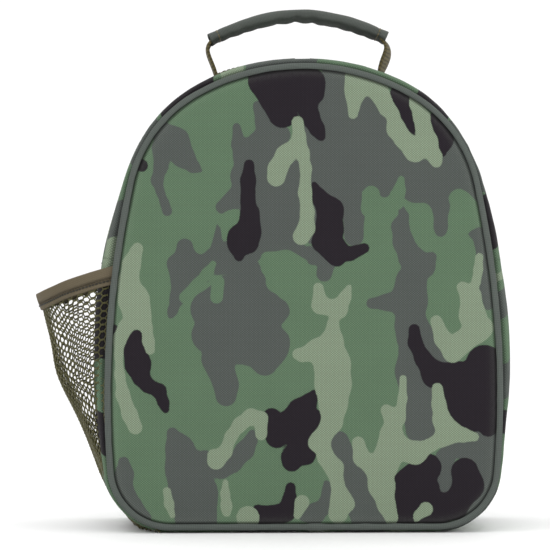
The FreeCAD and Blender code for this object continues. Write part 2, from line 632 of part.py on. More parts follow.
def round_the_feet(body):
    """Rounds the lower ends of the webbing about the line on which it flexes, so that they swing clear."""
    sketch = new_sketch(body, "feet", "YZ_Plane")
    middle, height, radius = size("handle_y"), size("handle_axis_height"), size("strap_width") / 2
    margin = radius + FOOT_CLEARANCE
    low = height - 2 * margin
    centre = V(middle, height, 0)
    arc = Part.ArcOfCircle(Part.Circle(centre, V(0, 0, 1), radius), math.pi, 2 * math.pi)
    points = [V(middle + radius, height, 0), V(middle + margin, height, 0), V(middle + margin, low, 0),
              V(middle - margin, low, 0), V(middle - margin, height, 0), V(middle - radius, height, 0)]
    sketch.addGeometry(arc, False)
    for start, end in zip(points, points[1:]):
        sketch.addGeometry(Part.LineSegment(start, end), False)
    join_ends(sketch, 0, 6)
    bind(sketch, "foot_radius", Sketcher.Constraint("Radius", 0, radius), "Sizes.strap_width / 2")
    bind(sketch, "flex_height", Sketcher.Constraint("DistanceY", -1, 1, 0, 3, height),
         "Sizes.handle_axis_height")
    bind(sketch, "flex_depth", Sketcher.Constraint("DistanceX", -1, 1, 0, 3, middle), "Sizes.handle_y")
    pocket_through(body, sketch)


def revolve_arch(body, sketch, angle):
    """Turns a section in the body's YZ plane about the body's Y axis, half of the angle each way."""
    feature = body.newObject("PartDesign::Revolution", sketch.Name + "_arch")
    feature.Profile = sketch
    feature.ReferenceAxis = (sketch, ["H_Axis"])
    feature.Angle = angle
    feature.Midplane = True
    body.Tip = feature
    doc.recompute()


def make_grip():
    """The grip: a fabric sleeve around a foam pad, with the webbing through the middle."""
    angle = math.degrees(2 * GRIP_ANGLE)
    sleeve = new_body("grip_sleeve")
    section = new_sketch(sleeve, "section", "YZ_Plane")
    add_rounded_rectangle(section, "outside", "Sizes.grip_width", "Sizes.grip_height", "Sizes.grip_radius",
                          "Sizes.grip_rounding")
    add_rounded_rectangle(section, "inside", "Sizes.grip_width - 2 * Sizes.grip_wall",
                          "Sizes.grip_height - 2 * Sizes.grip_wall", "Sizes.grip_radius",
                          "Sizes.grip_rounding - Sizes.grip_wall")
    revolve_arch(sleeve, section, angle)
    place(sleeve, 0, "Sizes.handle_y", GRIP_CENTRE)
    foam = new_body("grip_foam")
    section = new_sketch(foam, "section", "YZ_Plane")
    add_rounded_rectangle(section, "outside", "Sizes.grip_width - 2 * Sizes.grip_wall",
                          "Sizes.grip_height - 2 * Sizes.grip_wall", "Sizes.grip_radius",
                          "Sizes.grip_rounding - Sizes.grip_wall")
    slot_width = "(Sizes.strap_width / 2 + Sizes.strap_slot_gap)"
    slot_height = "(Sizes.strap / 2 + Sizes.strap_slot_gap)"
    add_rectangle(section, "slot", f"-{slot_width}", slot_width, f"Sizes.grip_radius - {slot_height}",
                  f"Sizes.grip_radius + {slot_height}")
    revolve_arch(foam, section, angle)
    place(foam, 0, "Sizes.handle_y", GRIP_CENTRE)


def make_patch(label, side):
    """A sewn end of the webbing, flat on the gusset under the grip, stitched through it."""
    body = new_body(label)
    reach = "Sizes.top_radius + Sizes.gusset_proud"
    section = new_sketch(body, "section", "YZ_Plane")
    add_rectangle(section, "end", "-Sizes.strap_width / 2", "Sizes.strap_width / 2", reach,
                  f"{reach} + Sizes.strap")
    span = math.degrees(size("patch_length") / evaluate(reach))
    gap = math.degrees((size("strap") / 2 + size("patch_gap")) / evaluate(reach))
    revolve_arch(body, section, span)
    place(body, 0, "Sizes.handle_y", CROWN_HEIGHT, f"{side} * (Sizes.strap_lean - {gap + span / 2:.6f})")


# ------------------------------------------------------------------------------------ side pocket

# The lowest place on the outline, above its bottom, where the pocket's seams are measured.
LOWEST_SEAM = 1


def pocket_sections(body, name, inside):
    """Level sections of the pocket: an arc from seam to seam, closed by a straight inside the bag.

    inside is an expression for how far the sections lie within the pocket's outer face.
    """
    sections = []
    for station, height, reach in POCKET_REACH:
        sketch = new_sketch(body, f"{name}_{station}", "XY_Plane", f"Sizes.{station}_height")
        seam = outline_x(max(height, size("outline_bottom") + LOWEST_SEAM)) - size("pocket_tuck")
        depth = f"(Sizes.pocket_half_depth - ({inside}))"
        rise = f"(Sizes.{station}_reach - ({inside}) - {seam:.3f})"
        radius = f"(({depth}) ^ 2 + ({rise}) ^ 2) / (2 * {rise})"
        half, bow, bend = evaluate(depth), evaluate(rise), evaluate(radius)
        half_angle = math.atan2(half, bend - bow)
        circle = Part.Circle(V(bend - bow - seam, 0, 0), V(0, 0, 1), bend)
        sketch.addGeometry(Part.ArcOfCircle(circle, math.pi - half_angle, math.pi + half_angle), False)
        sketch.addGeometry(Part.LineSegment(V(-seam, -half, 0), V(-seam, half, 0)), False)
        join_ends(sketch, 0, 2)
        sketch.addConstraint(Sketcher.Constraint("Vertical", 1))
        sketch.addConstraint(Sketcher.Constraint("PointOnObject", 0, 3, -1))
        sketch.addConstraint(Sketcher.Constraint("DistanceX", 1, 1, -1, 1, seam))
        bind(sketch, "seam_depth", Sketcher.Constraint("DistanceY", -1, 1, 1, 2, half), depth)
        bind(sketch, "bow_radius", Sketcher.Constraint("Radius", 0, bend), radius)
        sections.append(sketch)
    return sections


def pocket_loft(body, kind, sections):
    feature = body.newObject(kind, sections[0].Name + "_loft")
    feature.Profile = sections[0]
    feature.Sections = sections[1:]
    feature.Ruled = False
    body.Tip = feature
    doc.recompute()


def cut_pocket_away_from_bag(body):
    sketch = new_sketch(body, "bag", "XZ_Plane")
    add_outline(sketch, "bag", "Sizes.gusset_proud + Sizes.pocket_gap")
    pocket_through(body, sketch)


# How far a cut along the rim goes to each side of the pocket's seam.
CUT_REACH = 80


def cut_pocket_along_rim(body, name, drop, upper):
    """Cuts along the sloping rim, drop under its upper edge, and keeps the lower or the upper side."""
    slope = math.tan(math.radians(size("pocket_tilt")))
    seam = -outline_x(size("pocket_rim_height"))
    top = size("pocket_rim_height") - evaluate(drop)
    inner, outer = seam + CUT_REACH, seam - CUT_REACH
    inner_z, outer_z = top + slope * CUT_REACH, top - slope * CUT_REACH
    sketch = new_sketch(body, name, "XZ_Plane")
    level = -FAR if upper else FAR
    points = [V(inner, inner_z, 0), V(outer, outer_z, 0), V(outer, level, 0), V(inner, level, 0)]
    for start, end in zip(points, points[1:] + points[:1]):
        sketch.addGeometry(Part.LineSegment(start, end), False)
    join_ends(sketch, 0, 4)
    pocket_through(body, sketch)


def make_pocket():
    """The mesh pocket: sewn into both side seams and around the bottom corner, open at the top."""
    net = new_body("mesh_pocket")
    pocket_loft(net, "PartDesign::AdditiveLoft", pocket_sections(net, "outside", "0"))
    pocket_loft(net, "PartDesign::SubtractiveLoft", pocket_sections(net, "inside", "Sizes.mesh"))
    cut_pocket_away_from_bag(net)
    cut_pocket_along_rim(net, "rim", "Sizes.pocket_rim", False)
    rim = new_body("pocket_rim")
    proud = "(Sizes.pocket_rim_thickness - Sizes.mesh) / 2"
    pocket_loft(rim, "PartDesign::AdditiveLoft", pocket_sections(rim, "outside", f"-{proud}"))
    pocket_loft(rim, "PartDesign::SubtractiveLoft",
                pocket_sections(rim, "inside", f"Sizes.pocket_rim_thickness - {proud}"))
    cut_pocket_away_from_bag(rim)
    cut_pocket_along_rim(rim, "upper", "0", False)
    cut_pocket_along_rim(rim, "lower", "Sizes.pocket_rim", True)


# ------------------------------------------------------------------------------------ the whole bag

def make_bag():
    make_back()
    make_front("lower", None, FOLD_BELOW)
    make_front("lid", FOLD_ABOVE, None)
    make_base_gusset()
    make_zip_strips()
    make_seam_bindings()
    make_zip()
    for side, name in ((-1, "left"), (1, "right")):
        make_slider(f"slider_{name}", f"{side} * Sizes.slider_angle")
        make_pull(f"pull_{name}", f"{side} * Sizes.slider_angle", side)
        make_patch(f"strap_end_{name}", side)
    make_strap()
    make_grip()
    make_pocket()


def write_parts():
    doc.recompute()
    for item in doc.Objects:
        if "Invalid" in item.State or "Error" in item.State:
            raise RuntimeError(f"{item.Label} is not valid: {item.State}")
    bodies = [item for item in doc.Objects if item.TypeId == "PartDesign::Body"]
    for body in bodies:
        if body.Shape.isNull() or not body.Shape.isValid():
            raise RuntimeError(f"{body.Label} has no valid shape")
    os.makedirs("parts", exist_ok=True)
    for body in bodies:
        body.Shape.exportStep(os.path.join("parts", body.Label + ".step"))


make_bag()
write_parts()
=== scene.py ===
"""Looks of the insulated cooler bag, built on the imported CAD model.

Points and sizes are in millimetres in the row frame until a mesh is made, which is in metres. Cloth carries
its own thread directions in its UV map, in metres, so a weave runs true to scale around every bend.
"""
import math

import bmesh
import bpy
import numpy as np
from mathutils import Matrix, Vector, geometry, noise


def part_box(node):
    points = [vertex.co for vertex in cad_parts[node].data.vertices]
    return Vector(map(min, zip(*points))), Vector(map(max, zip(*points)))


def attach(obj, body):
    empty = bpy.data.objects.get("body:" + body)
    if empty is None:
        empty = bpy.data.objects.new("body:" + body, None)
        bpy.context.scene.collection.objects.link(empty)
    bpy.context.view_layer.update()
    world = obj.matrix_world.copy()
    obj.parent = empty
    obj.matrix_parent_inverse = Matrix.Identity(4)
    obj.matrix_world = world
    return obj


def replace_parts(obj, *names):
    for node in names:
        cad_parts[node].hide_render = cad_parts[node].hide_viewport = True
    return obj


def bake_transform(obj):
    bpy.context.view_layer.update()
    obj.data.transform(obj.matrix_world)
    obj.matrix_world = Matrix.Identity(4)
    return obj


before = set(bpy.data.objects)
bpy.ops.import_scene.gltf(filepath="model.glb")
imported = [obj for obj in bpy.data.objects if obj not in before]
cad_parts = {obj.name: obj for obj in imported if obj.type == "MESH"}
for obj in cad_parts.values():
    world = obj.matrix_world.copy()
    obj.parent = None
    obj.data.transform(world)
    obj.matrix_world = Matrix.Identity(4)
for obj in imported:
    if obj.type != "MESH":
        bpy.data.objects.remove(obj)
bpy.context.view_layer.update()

MM = 0.001


def span(node):
    """Lowest and highest corner of a CAD node, in millimetres."""
    low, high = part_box(node)
    return np.array(low) / MM, np.array(high) / MM


# ---------------------------------------------------------------------------------- places from the frame

PIPING_LOW, PIPING_HIGH = span("back_piping")
HALF_WIDTH, TOP = PIPING_HIGH[0], PIPING_HIGH[2]
BOTTOM = PIPING_LOW[2]
PIPING_Y = (PIPING_LOW[1] + PIPING_HIGH[1]) / 2
PIPING_R = (PIPING_HIGH[1] - PIPING_LOW[1]) / 2
SEAM_Y = span("base_gusset")[1][1]
FOLD = (span("base_gusset")[1][2] + span("lid_gusset")[0][2]) / 2
PANEL_Y = span("back_panel")[1][1]
LINER_Y = span("back_liner")[0][1]
LID_EDGE = span("lid_gusset")[1][1]
REAR_EDGE = span("rear_gusset")[0][1]
ZIP_Y = (LID_EDGE + REAR_EDGE) / 2
ZIP_END = span("zip_end_tabs")[1][2]
STRAP_LOW, STRAP_HIGH = span("handle_strap")
GRIP_LOW, GRIP_HIGH = span("grip_sleeve")
HANDLE_Y = (GRIP_LOW[1] + GRIP_HIGH[1]) / 2

# The arch outline is a chain of tangent arcs about these radii, as in the CAD.
WIDEST = 70.0
CROWN_R, SHOULDER_R, SIDE_R, CORNER_R = 112.0, 70.0, 492.0, 32.0


def arch_table(step=0.25):
    """The outline from the middle of the base, round by the right: distance along it, point and outward normal."""
    crown = np.array([0, TOP - CROWN_R])
    side = np.array([HALF_WIDTH - SIDE_R, WIDEST])
    between = side - crown
    length = np.hypot(*between)
    near, far = CROWN_R - SHOULDER_R, SIDE_R - SHOULDER_R
    along = (near ** 2 - far ** 2 + length ** 2) / (2 * length)
    unit = between / length
    shoulder = crown + unit * along + np.array([unit[1], -unit[0]]) * math.sqrt(near ** 2 - along ** 2)
    corner_z = BOTTOM + CORNER_R
    corner = np.array([side[0] + math.sqrt((SIDE_R - CORNER_R) ** 2 - (corner_z - WIDEST) ** 2), corner_z])
    low = math.atan2(*(corner - side)[::-1])
    middle = math.atan2(*(shoulder - side)[::-1])
    high = math.atan2(*(shoulder - crown)[::-1])
    points = [np.column_stack([np.arange(0, corner[0], step), np.full(math.ceil(corner[0] / step), BOTTOM)])]
    normals = [np.tile([0.0, -1.0], (len(points[0]), 1))]
    for centre, radius, first, last in ((corner, CORNER_R, -math.pi / 2, low), (side, SIDE_R, low, middle),
                                        (shoulder, SHOULDER_R, middle, high), (crown, CROWN_R, high, math.pi / 2)):
        angle = np.linspace(first, last, max(4, int(radius * (last - first) / step)), endpoint=False)
        normal = np.column_stack([np.cos(angle), np.sin(angle)])
        points.append(centre + radius * normal)
        normals.append(normal)
    right, right_normal = np.vstack(points), np.vstack(normals)
    flip = np.array([-1.0, 1.0])
    point = np.vstack([right, [[0.0, TOP]], right[::-1] * flip])
    normal = np.vstack([right_normal, [[0.0, 1.0]], right_normal[::-1] * flip])
    distance = np.concatenate([[0.0], np.cumsum(np.hypot(*np.diff(point, axis=0).T))])
    return distance, point, normal


ARCH_S, ARCH_P, ARCH_N = arch_table()
ROUND = ARCH_S[-1]
RIGHT = slice(len(ARCH_S) // 2)


def arch(s, grow=0.0):
    """Points x, z on the outline at distances s, moved out by grow, and the outward normals."""
    s = np.asarray(s, float) % ROUND
    normal = np.stack([np.interp(s, ARCH_S, ARCH_N[:, 0]), np.interp(s, ARCH_S, ARCH_N[:, 1])], -1)
    normal /= np.linalg.norm(normal, axis=-1, keepdims=True)
    point = np.stack([np.interp(s, ARCH_S, ARCH_P[:, 0]), np.interp(s, ARCH_S, ARCH_P[:, 1])], -1)
    return point + normal * np.asarray(grow, float)[..., None], normal


def arch_inside(x, z):
    """How far points lie inside the outline."""
    ring = ARCH_P[::4]
    found = np.empty(len(x))
    for start in range(0, len(x), 2000):
        part = slice(start, start + 2000)
        found[part] = np.sqrt(((x[part, None] - ring[:, 0]) ** 2 + (z[part, None] - ring[:, 1]) ** 2).min(1))
    return found


def arch_height(height):
    """Distance along the outline at which its right side reaches a height."""
    return float(np.interp(height, ARCH_P[RIGHT, 1], ARCH_S[RIGHT]))


def half_width_at(height):
    """Half the width of the outline at a height."""
    return np.interp(height, ARCH_P[RIGHT, 1], ARCH_P[RIGHT, 0])


def grid(s, y):
    """Every pairing of distances s along the outline with depths y, as two arrays."""
    return np.meshgrid(s, y, indexing="ij")


def upright(pairs, y=0.0):
    """Points x, y, z from pairs x, z and depths y."""
    return np.stack([pairs[..., 0], np.broadcast_to(y, pairs.shape[:-1]), pairs[..., 1]], -1)


def ease(t):
    """A smooth step from 0 to 1 as t goes from 0 to 1."""
    t = np.clip(t, 0, 1)
    return t * t * (3 - 2 * t)


def bumps(points, size, seed=0.0):
    """Smooth noise from about -1 to 1 at each point, with hollows about size apart."""
    flat = np.asarray(points, float).reshape(-1, 3) / size + seed
    return np.array([noise.noise(p) for p in flat]).reshape(np.asarray(points).shape[:-1]) * 1.6


# ---------------------------------------------------------------------------------- meshes

def finish_mesh(name, points, faces, uv, fields=None):
    """A mesh object from points in millimetres. uv is one pair per loop, and fields are values per vertex."""
    mesh = bpy.data.meshes.new(name)
    mesh.from_pydata((np.asarray(points) * MM).tolist(), [], [list(map(int, f)) for f in faces])
    layer = mesh.uv_layers.new(name="UVMap")
    layer.data.foreach_set("uv", np.asarray(uv, np.float32).ravel() * MM)
    for key, values in (fields or {}).items():
        attribute = mesh.attributes.new(key, "FLOAT", "POINT")
        attribute.data.foreach_set("value", np.asarray(values, np.float32).ravel())
    mesh.validate()
    mesh.update()
    mesh.polygons.foreach_set("use_smooth", np.ones(len(mesh.polygons), bool))
    obj = bpy.data.objects.new(name, mesh)
    bpy.context.scene.collection.objects.link(obj)
    return obj


def surface(name, points, u, v, fields=None, around_u=False, around_v=False, flip=False):
    """A grid of quads through points[i, j], with threads along u (one value per i) and v (one per j).

    around_u or around_v closes the grid, and then u or v has one more value than there are rows.
    """
    rows, columns = points.shape[:2]
    i = np.arange(rows if around_u else rows - 1)
    j = np.arange(columns if around_v else columns - 1)
    a, b = (k.ravel() for k in np.meshgrid(i, j, indexing="ij"))
    corner = [(a, b), (a + 1, b), (a + 1, b + 1), (a, b + 1)]
    if flip:
        corner = corner[::-1]
    faces = np.stack([(p % rows) * columns + q % columns for p, q in corner], 1)
    u, v = np.asarray(u, float), np.asarray(v, float)
    if u.ndim == 2:
        uv = np.stack([np.stack([u[p, q], v[p, q]], -1) for p, q in corner], 1)
    else:
        uv = np.stack([np.stack([u[p], v[q]], -1) for p, q in corner], 1)
    flat = {key: value.ravel() for key, value in (fields or {}).items()}
    return finish_mesh(name, points.reshape(-1, 3), faces, uv, flat)


def slab(name, outer, inner, u, v):
    """A closed layer between two grids of points, with flat ends."""
    ring = np.concatenate([outer, inner[:, ::-1]], 1)
    middle = (outer + inner) / 2
    cap = np.concatenate([middle, middle[:, ::-1]], 1)
    points = np.concatenate([cap[:1], ring, cap[-1:]], 0)
    u, v = np.asarray(u, float), np.asarray(v, float)
    thick = float(np.linalg.norm(outer[0, 0] - inner[0, 0]))
    around = np.concatenate([v, 2 * v[-1] - v[::-1] + thick, [2 * (v[-1] - v[0]) + v[0] + 2 * thick]])
    piece = surface(name, points, np.concatenate([u[:1], u, u[-1:]]), around, around_v=True)
    closed = bmesh.new()
    closed.from_mesh(piece.data)
    bmesh.ops.remove_doubles(closed, verts=closed.verts, dist=1e-7)
    bmesh.ops.recalc_face_normals(closed, faces=closed.faces)
    closed.to_mesh(piece.data)
    closed.free()
    return piece


def join_shapes(name, shapes, material):
    """One dressed piece of many small closed shapes, each given as (points, faces)."""
    points, faces, start = [], [], 0
    for shape_points, shape_faces in shapes:
        points.append(shape_points)
        faces.extend([[k + start for k in face] for face in shape_faces])
        start += len(shape_points)
    stacked = np.vstack(points)
    along = [[stacked[k][0] + stacked[k][1], stacked[k][2]] for face in faces for k in face]
    return dress(finish_mesh(name, stacked, faces, along), material)


def plan_piece(name, plan, depth, faces, fields=None):
    """A mesh over plan points x, z at depths y, with its threads along x and z."""
    uv = [[plan[k][0], plan[k][1]] for face in faces for k in face]
    return finish_mesh(name, upright(plan, depth), faces, uv, fields)


def turned(faces, over):
    """The faces, turned over or as they are."""
    return [face[::-1] for face in faces] if over else faces


def dress(obj, material):
    """Gives a piece its material."""
    obj.data.materials.clear()
    obj.data.materials.append(material)
    return obj


def thicken(obj, thickness, offset=-1.0):
    modifier = obj.modifiers.new("thickness", "SOLIDIFY")
    modifier.thickness = thickness * MM
    modifier.offset = offset
    modifier.use_even_offset = False
    return obj


TUBE_SIDES = 6


def tube(centres, radius):
    """Points and faces of a round tube along centres, for thread, coil and net."""
    centres = np.asarray(centres, float)
    count = len(centres)
    along = np.gradient(centres, axis=0)
    along /= np.linalg.norm(along, axis=1, keepdims=True)
    up = np.array([0.0, 1.0, 0.0]) if abs(along[:, 1]).max() < 0.9 else np.array([0.0, 0.0, 1.0])
    across = np.cross(along, up)
    across /= np.maximum(np.linalg.norm(across, axis=1, keepdims=True), 1e-9)
    other = np.cross(across, along)
    angle = np.arange(TUBE_SIDES) / TUBE_SIDES * 2 * math.pi
    radius = np.broadcast_to(np.asarray(radius, float), (count,))[:, None, None]
    ring = np.cos(angle)[None, :, None] * across[:, None] + np.sin(angle)[None, :, None] * other[:, None]
    points = (centres[:, None] + radius * ring).reshape(-1, 3)
    rows = np.arange(count * TUBE_SIDES).reshape(count, TUBE_SIDES).tolist()
    faces = []
    for near, far in zip(rows, rows[1:]):
        for m in range(TUBE_SIDES):
            n = (m + 1) % TUBE_SIDES
            faces.append([near[m], far[m], far[n], near[n]])
    return points, [*faces, rows[0], rows[-1][::-1]]


# ---------------------------------------------------------------------------------- the camouflage print

# Each stroke is a run of dabs of (x, z, radius) on the front panel. Colours go on in this order over mid green.
GREY = (
    ((-72, 203, 5), (-66, 197, 8), (-61, 190, 5.5), (-56, 185, 3), (-52.5, 183, 1)),
    ((-72, 194, 5), (-72.3, 185, 3.3), (-74.3, 178, 2.8), (-72.6, 172, 1.8), (-70.6, 167, 1.9),
     (-69.2, 162.6, 2.6)),
    ((-23.3, 215.5, 2.8), (-20, 207, 4.5), (-16, 198, 6)),
    ((-34.2, 205, 2), (-33, 196, 3.5), (-28, 190, 8), (-20, 196, 8), (-12, 201, 5)),
    ((-30, 180, 7.5), (-20, 180, 10), (-20, 165, 12), (-10, 168, 10)),
    ((-33, 170, 6), (-41.5, 164.5, 3.3)),
    ((-10, 155, 9), (-20, 150, 9), (-28, 145, 8), (-35, 140, 8), (-45, 137, 7)),
    ((-32, 136, 7), (-28, 130, 7), (-24, 123, 6.5), (-22, 116, 8)),
    ((-44, 145, 3), (-43.3, 156, 0.8)),
    ((-60.3, 144.5, 4.2), (-60, 137, 6), (-52, 133, 7)),
    ((-65, 136, 4.5), (-62, 128, 5), (-64, 119, 3.5), (-66.5, 112, 2.2), (-67.5, 109.5, 1.3)),
    ((-5, 144, 2), (4, 140, 4), (12, 138, 4), (10, 131, 4)),
    ((-48, 113, 9.5), (-36, 118, 12), (-22, 113, 13), (-12, 112, 4.6)),
    ((-48, 100, 9), (-35, 100, 14), (-20, 95, 12), (-12.5, 97, 5)),
    ((-44, 88, 8), (-39.5, 75, 6), (-39.5, 69.5, 5.3)),
    ((-20, 86, 6.5), (-14, 93, 5.5)),
    ((-66.5, 50.5, 3), (-63, 43, 7), (-60, 33, 10), (-56, 20, 12), (-54.5, 6, 10.5)),
    ((-50, 36, 6), (-42, 33, 5), (-36, 35, 4), (-30, 42, 4.5), (-27, 47, 3), (-26.3, 50.5, 1.9)),
    ((-91, 36, 2.8), (-90.5, 30, 4.3), (-91, 24, 4), (-86, 14, 4), (-80, 8, 3)),
    ((15.5, 228, 5.6), (15, 220, 6), (12, 213, 5), (6, 214.5, 4)),
    ((34, 186, 6), (39.5, 177, 4), (40.6, 172.5, 3)),
    ((27, 184, 6), (28, 178.5, 3)),
    ((57, 178, 9), (55.5, 171.5, 3.2)),
    ((20, 205, 11), (33, 207, 9), (33, 217, 3.5)),
    ((-9, 182, 5), (-8, 187, 3)),
    ((12, 173, 4), (4, 172, 4), (4.5, 150, 4)),
    ((-12, 147.5, 4.5), (-4, 146.5, 3.5)),
    ((2, 205, 6), (2, 192, 8), (2, 180, 8), (0, 168, 8), (-2, 157, 7)),
    ((14, 230, 6), (24, 220, 9), (34, 212, 10), (44, 203, 8)),
    ((66, 200, 8), (74, 196, 7), (79, 188, 7)),
    ((8, 190, 6), (20, 190, 14), (35, 187, 14), (46, 184, 9), (58, 178, 11), (66, 176, 8), (75, 184, 9),
     (83, 180, 7)),
    ((84, 180, 6), (89, 171, 4)),
    ((20, 175, 9), (25, 160, 5), (25, 150, 5)),
    ((66, 172, 7), (69, 165, 4.2), (69, 155, 3.2), (69, 152.6, 3)),
    ((50, 104, 4.5), (51, 98, 4.5)),
    ((84.5, 151, 1.5), (88.5, 152, 2.5)),
    ((88, 150, 3), (90, 140, 2.5), (91, 125, 2.5), (93, 115, 2.5)),
    ((49, 164, 1.6), (50.3, 160, 2.2), (48.5, 155, 4.2), (50, 147, 5), (54, 139, 6), (60, 135, 6.5)),
    ((64.5, 139.5, 2.5),),
    ((54, 127, 8), (53, 117, 9), (42, 116.5, 4), (34, 116, 2.7)),
    ((54, 108, 8), (61, 101, 4), (66, 94, 4.2), (70, 88, 3.9)),
    ((52, 92, 4.5), (54, 82, 8), (57, 75, 9), (58.5, 62, 9), (58.7, 52.5, 7.6)),
    ((78, 47, 4), (88, 46, 5), (95, 46, 5)),
    ((0, 9, 3), (5, 10, 5), (11, 14, 3.5), (11, 24, 2.7)),
    ((17.5, 46.5, 5), (21, 38, 5), (26, 30, 6.5), (26, 20, 7), (31, 12, 8.5), (33, 6, 8.5)),
    ((71, 38, 4.4), (75, 43, 4), (84, 42, 6), (90, 39, 7), (91, 28, 6), (90, 16, 6), (82, 8, 5)),
    ((71, 38, 4.4), (71, 28, 4.0), (70.7, 23, 3.3)),
    ((85, 11, 5.5),),
)
GREEN = (
    ((-41, 157, 3), (-37.5, 158.5, 4), (-35, 161, 2.5)),
    ((-40, 153, 1.5),),
    ((-46, 136, 1.6), (-49, 131, 2.6), (-54, 125.5, 2.6), (-60, 119, 3.2)),
    ((-43.5, 127, 3.2), (-44.3, 119, 3.2)),
    ((-18.6, 138.6, 3.5), (-9, 138, 4.4), (-2.5, 134.5, 4.8)),
    ((-16.5, 134.5, 5.6), (-9, 134, 6.6)),
    ((-13.5, 127, 6), (-5, 125, 8)),
    ((-10, 121, 3), (-4, 119, 5)),
    ((4, 35, 3.5), (4, 27, 5.5), (5, 20, 3.5)),
    ((33.8, 171, 4.4), (33.5, 164, 5)),
    ((48.9, 178.8, 1.7), (48, 173, 2.8), (46.5, 167, 4)),
)
BLACK = (
    ((-21, 228, 7.5), (-15, 219, 7), (-11, 212, 7.5)),
    ((-8, 225, 9), (0, 225, 9.5), (4.5, 228, 5.6), (4.5, 222, 5.6)),
    ((-18, 231, 7), (-4, 232, 7)),
    ((48, 24, 5), (48, 10, 6)),
    ((2, 214, 5), (3, 210, 4.5), (6.5, 204, 3.6), (8.4, 200.3, 2.4)),
    ((5, 176, 1.5), (8, 169, 4), (13, 163, 6.5), (12.5, 153, 7), (9, 147, 5), (15, 143, 6.5), (16.5, 139, 4.5)),
    ((23, 141, 3.8), (30.3, 143.8, 2.6)),
    ((-27.9, 186, 2.6), (-28.4, 178, 3.6), (-28.5, 167, 3.9)),
    ((-27.5, 161.5, 5), (-28, 152, 5.9), (-28.6, 146.5, 5.6)),
    ((-32.8, 150.5, 5.4), (-32.8, 148, 6), (-33.2, 145, 4.8), (-33, 139.5, 2.4)),
    ((-82, 185.5, 3.2),),
    ((-84.4, 97.5, 5.2), (-85.2, 92, 5.6), (-83.8, 85, 6.4), (-82.2, 78.5, 4.0), (-78.8, 74.6, 3.4),
     (-73.2, 72, 3.3), (-71, 66, 2.6), (-70, 62.5, 1.9)),
    ((-96, 103, 2.5), (-93.5, 100, 1.5)),
    ((-24, 12.5, 2), (-21, 9.5, 4.5), (-15, 9, 5), (-9, 11, 4.5), (-7.5, 17, 3.3), (-7, 23.2, 2.6)),
    ((-16.5, 58.5, 4.8), (-14, 48.5, 5.5)),
    ((-14, 52, 6), (-5, 55, 8.5), (-2, 62, 6), (2, 66, 4)),
    ((4, 57, 6), (0, 45, 7), (-6, 38, 5.5), (-6.5, 35.5, 4.3)),
    ((1, 39, 4.6),),
    ((2, 66, 4), (5, 70, 2.5)),
    ((55.5, 102.7, 2.9), (56, 96, 3.4), (60, 88, 4), (66, 80, 6.5), (78, 76, 10.5), (80, 73, 12)),
    ((91, 86, 9), (91, 84, 9), (90, 62, 10.5), (93, 53, 4.5)),
    ((75, 66, 8), (80, 58, 9)),
    ((83, 62, 8),),
    ((53, 26, 7.5), (62, 33, 7.3)),
    ((61, 22, 7.5), (53, 12, 8), (65, 12, 8.5), (76, 14, 6.5), (83, 24, 7.5), (81, 31, 7)),
    ((48.6, 221.5, 5.4), (51.5, 213, 4.1), (54, 206, 3.5), (55.7, 201.2, 2.9)),
    ((65.5, 209, 3.2), (69, 204, 5), (70.8, 198, 4.2), (70, 191.5, 1.6)),
)
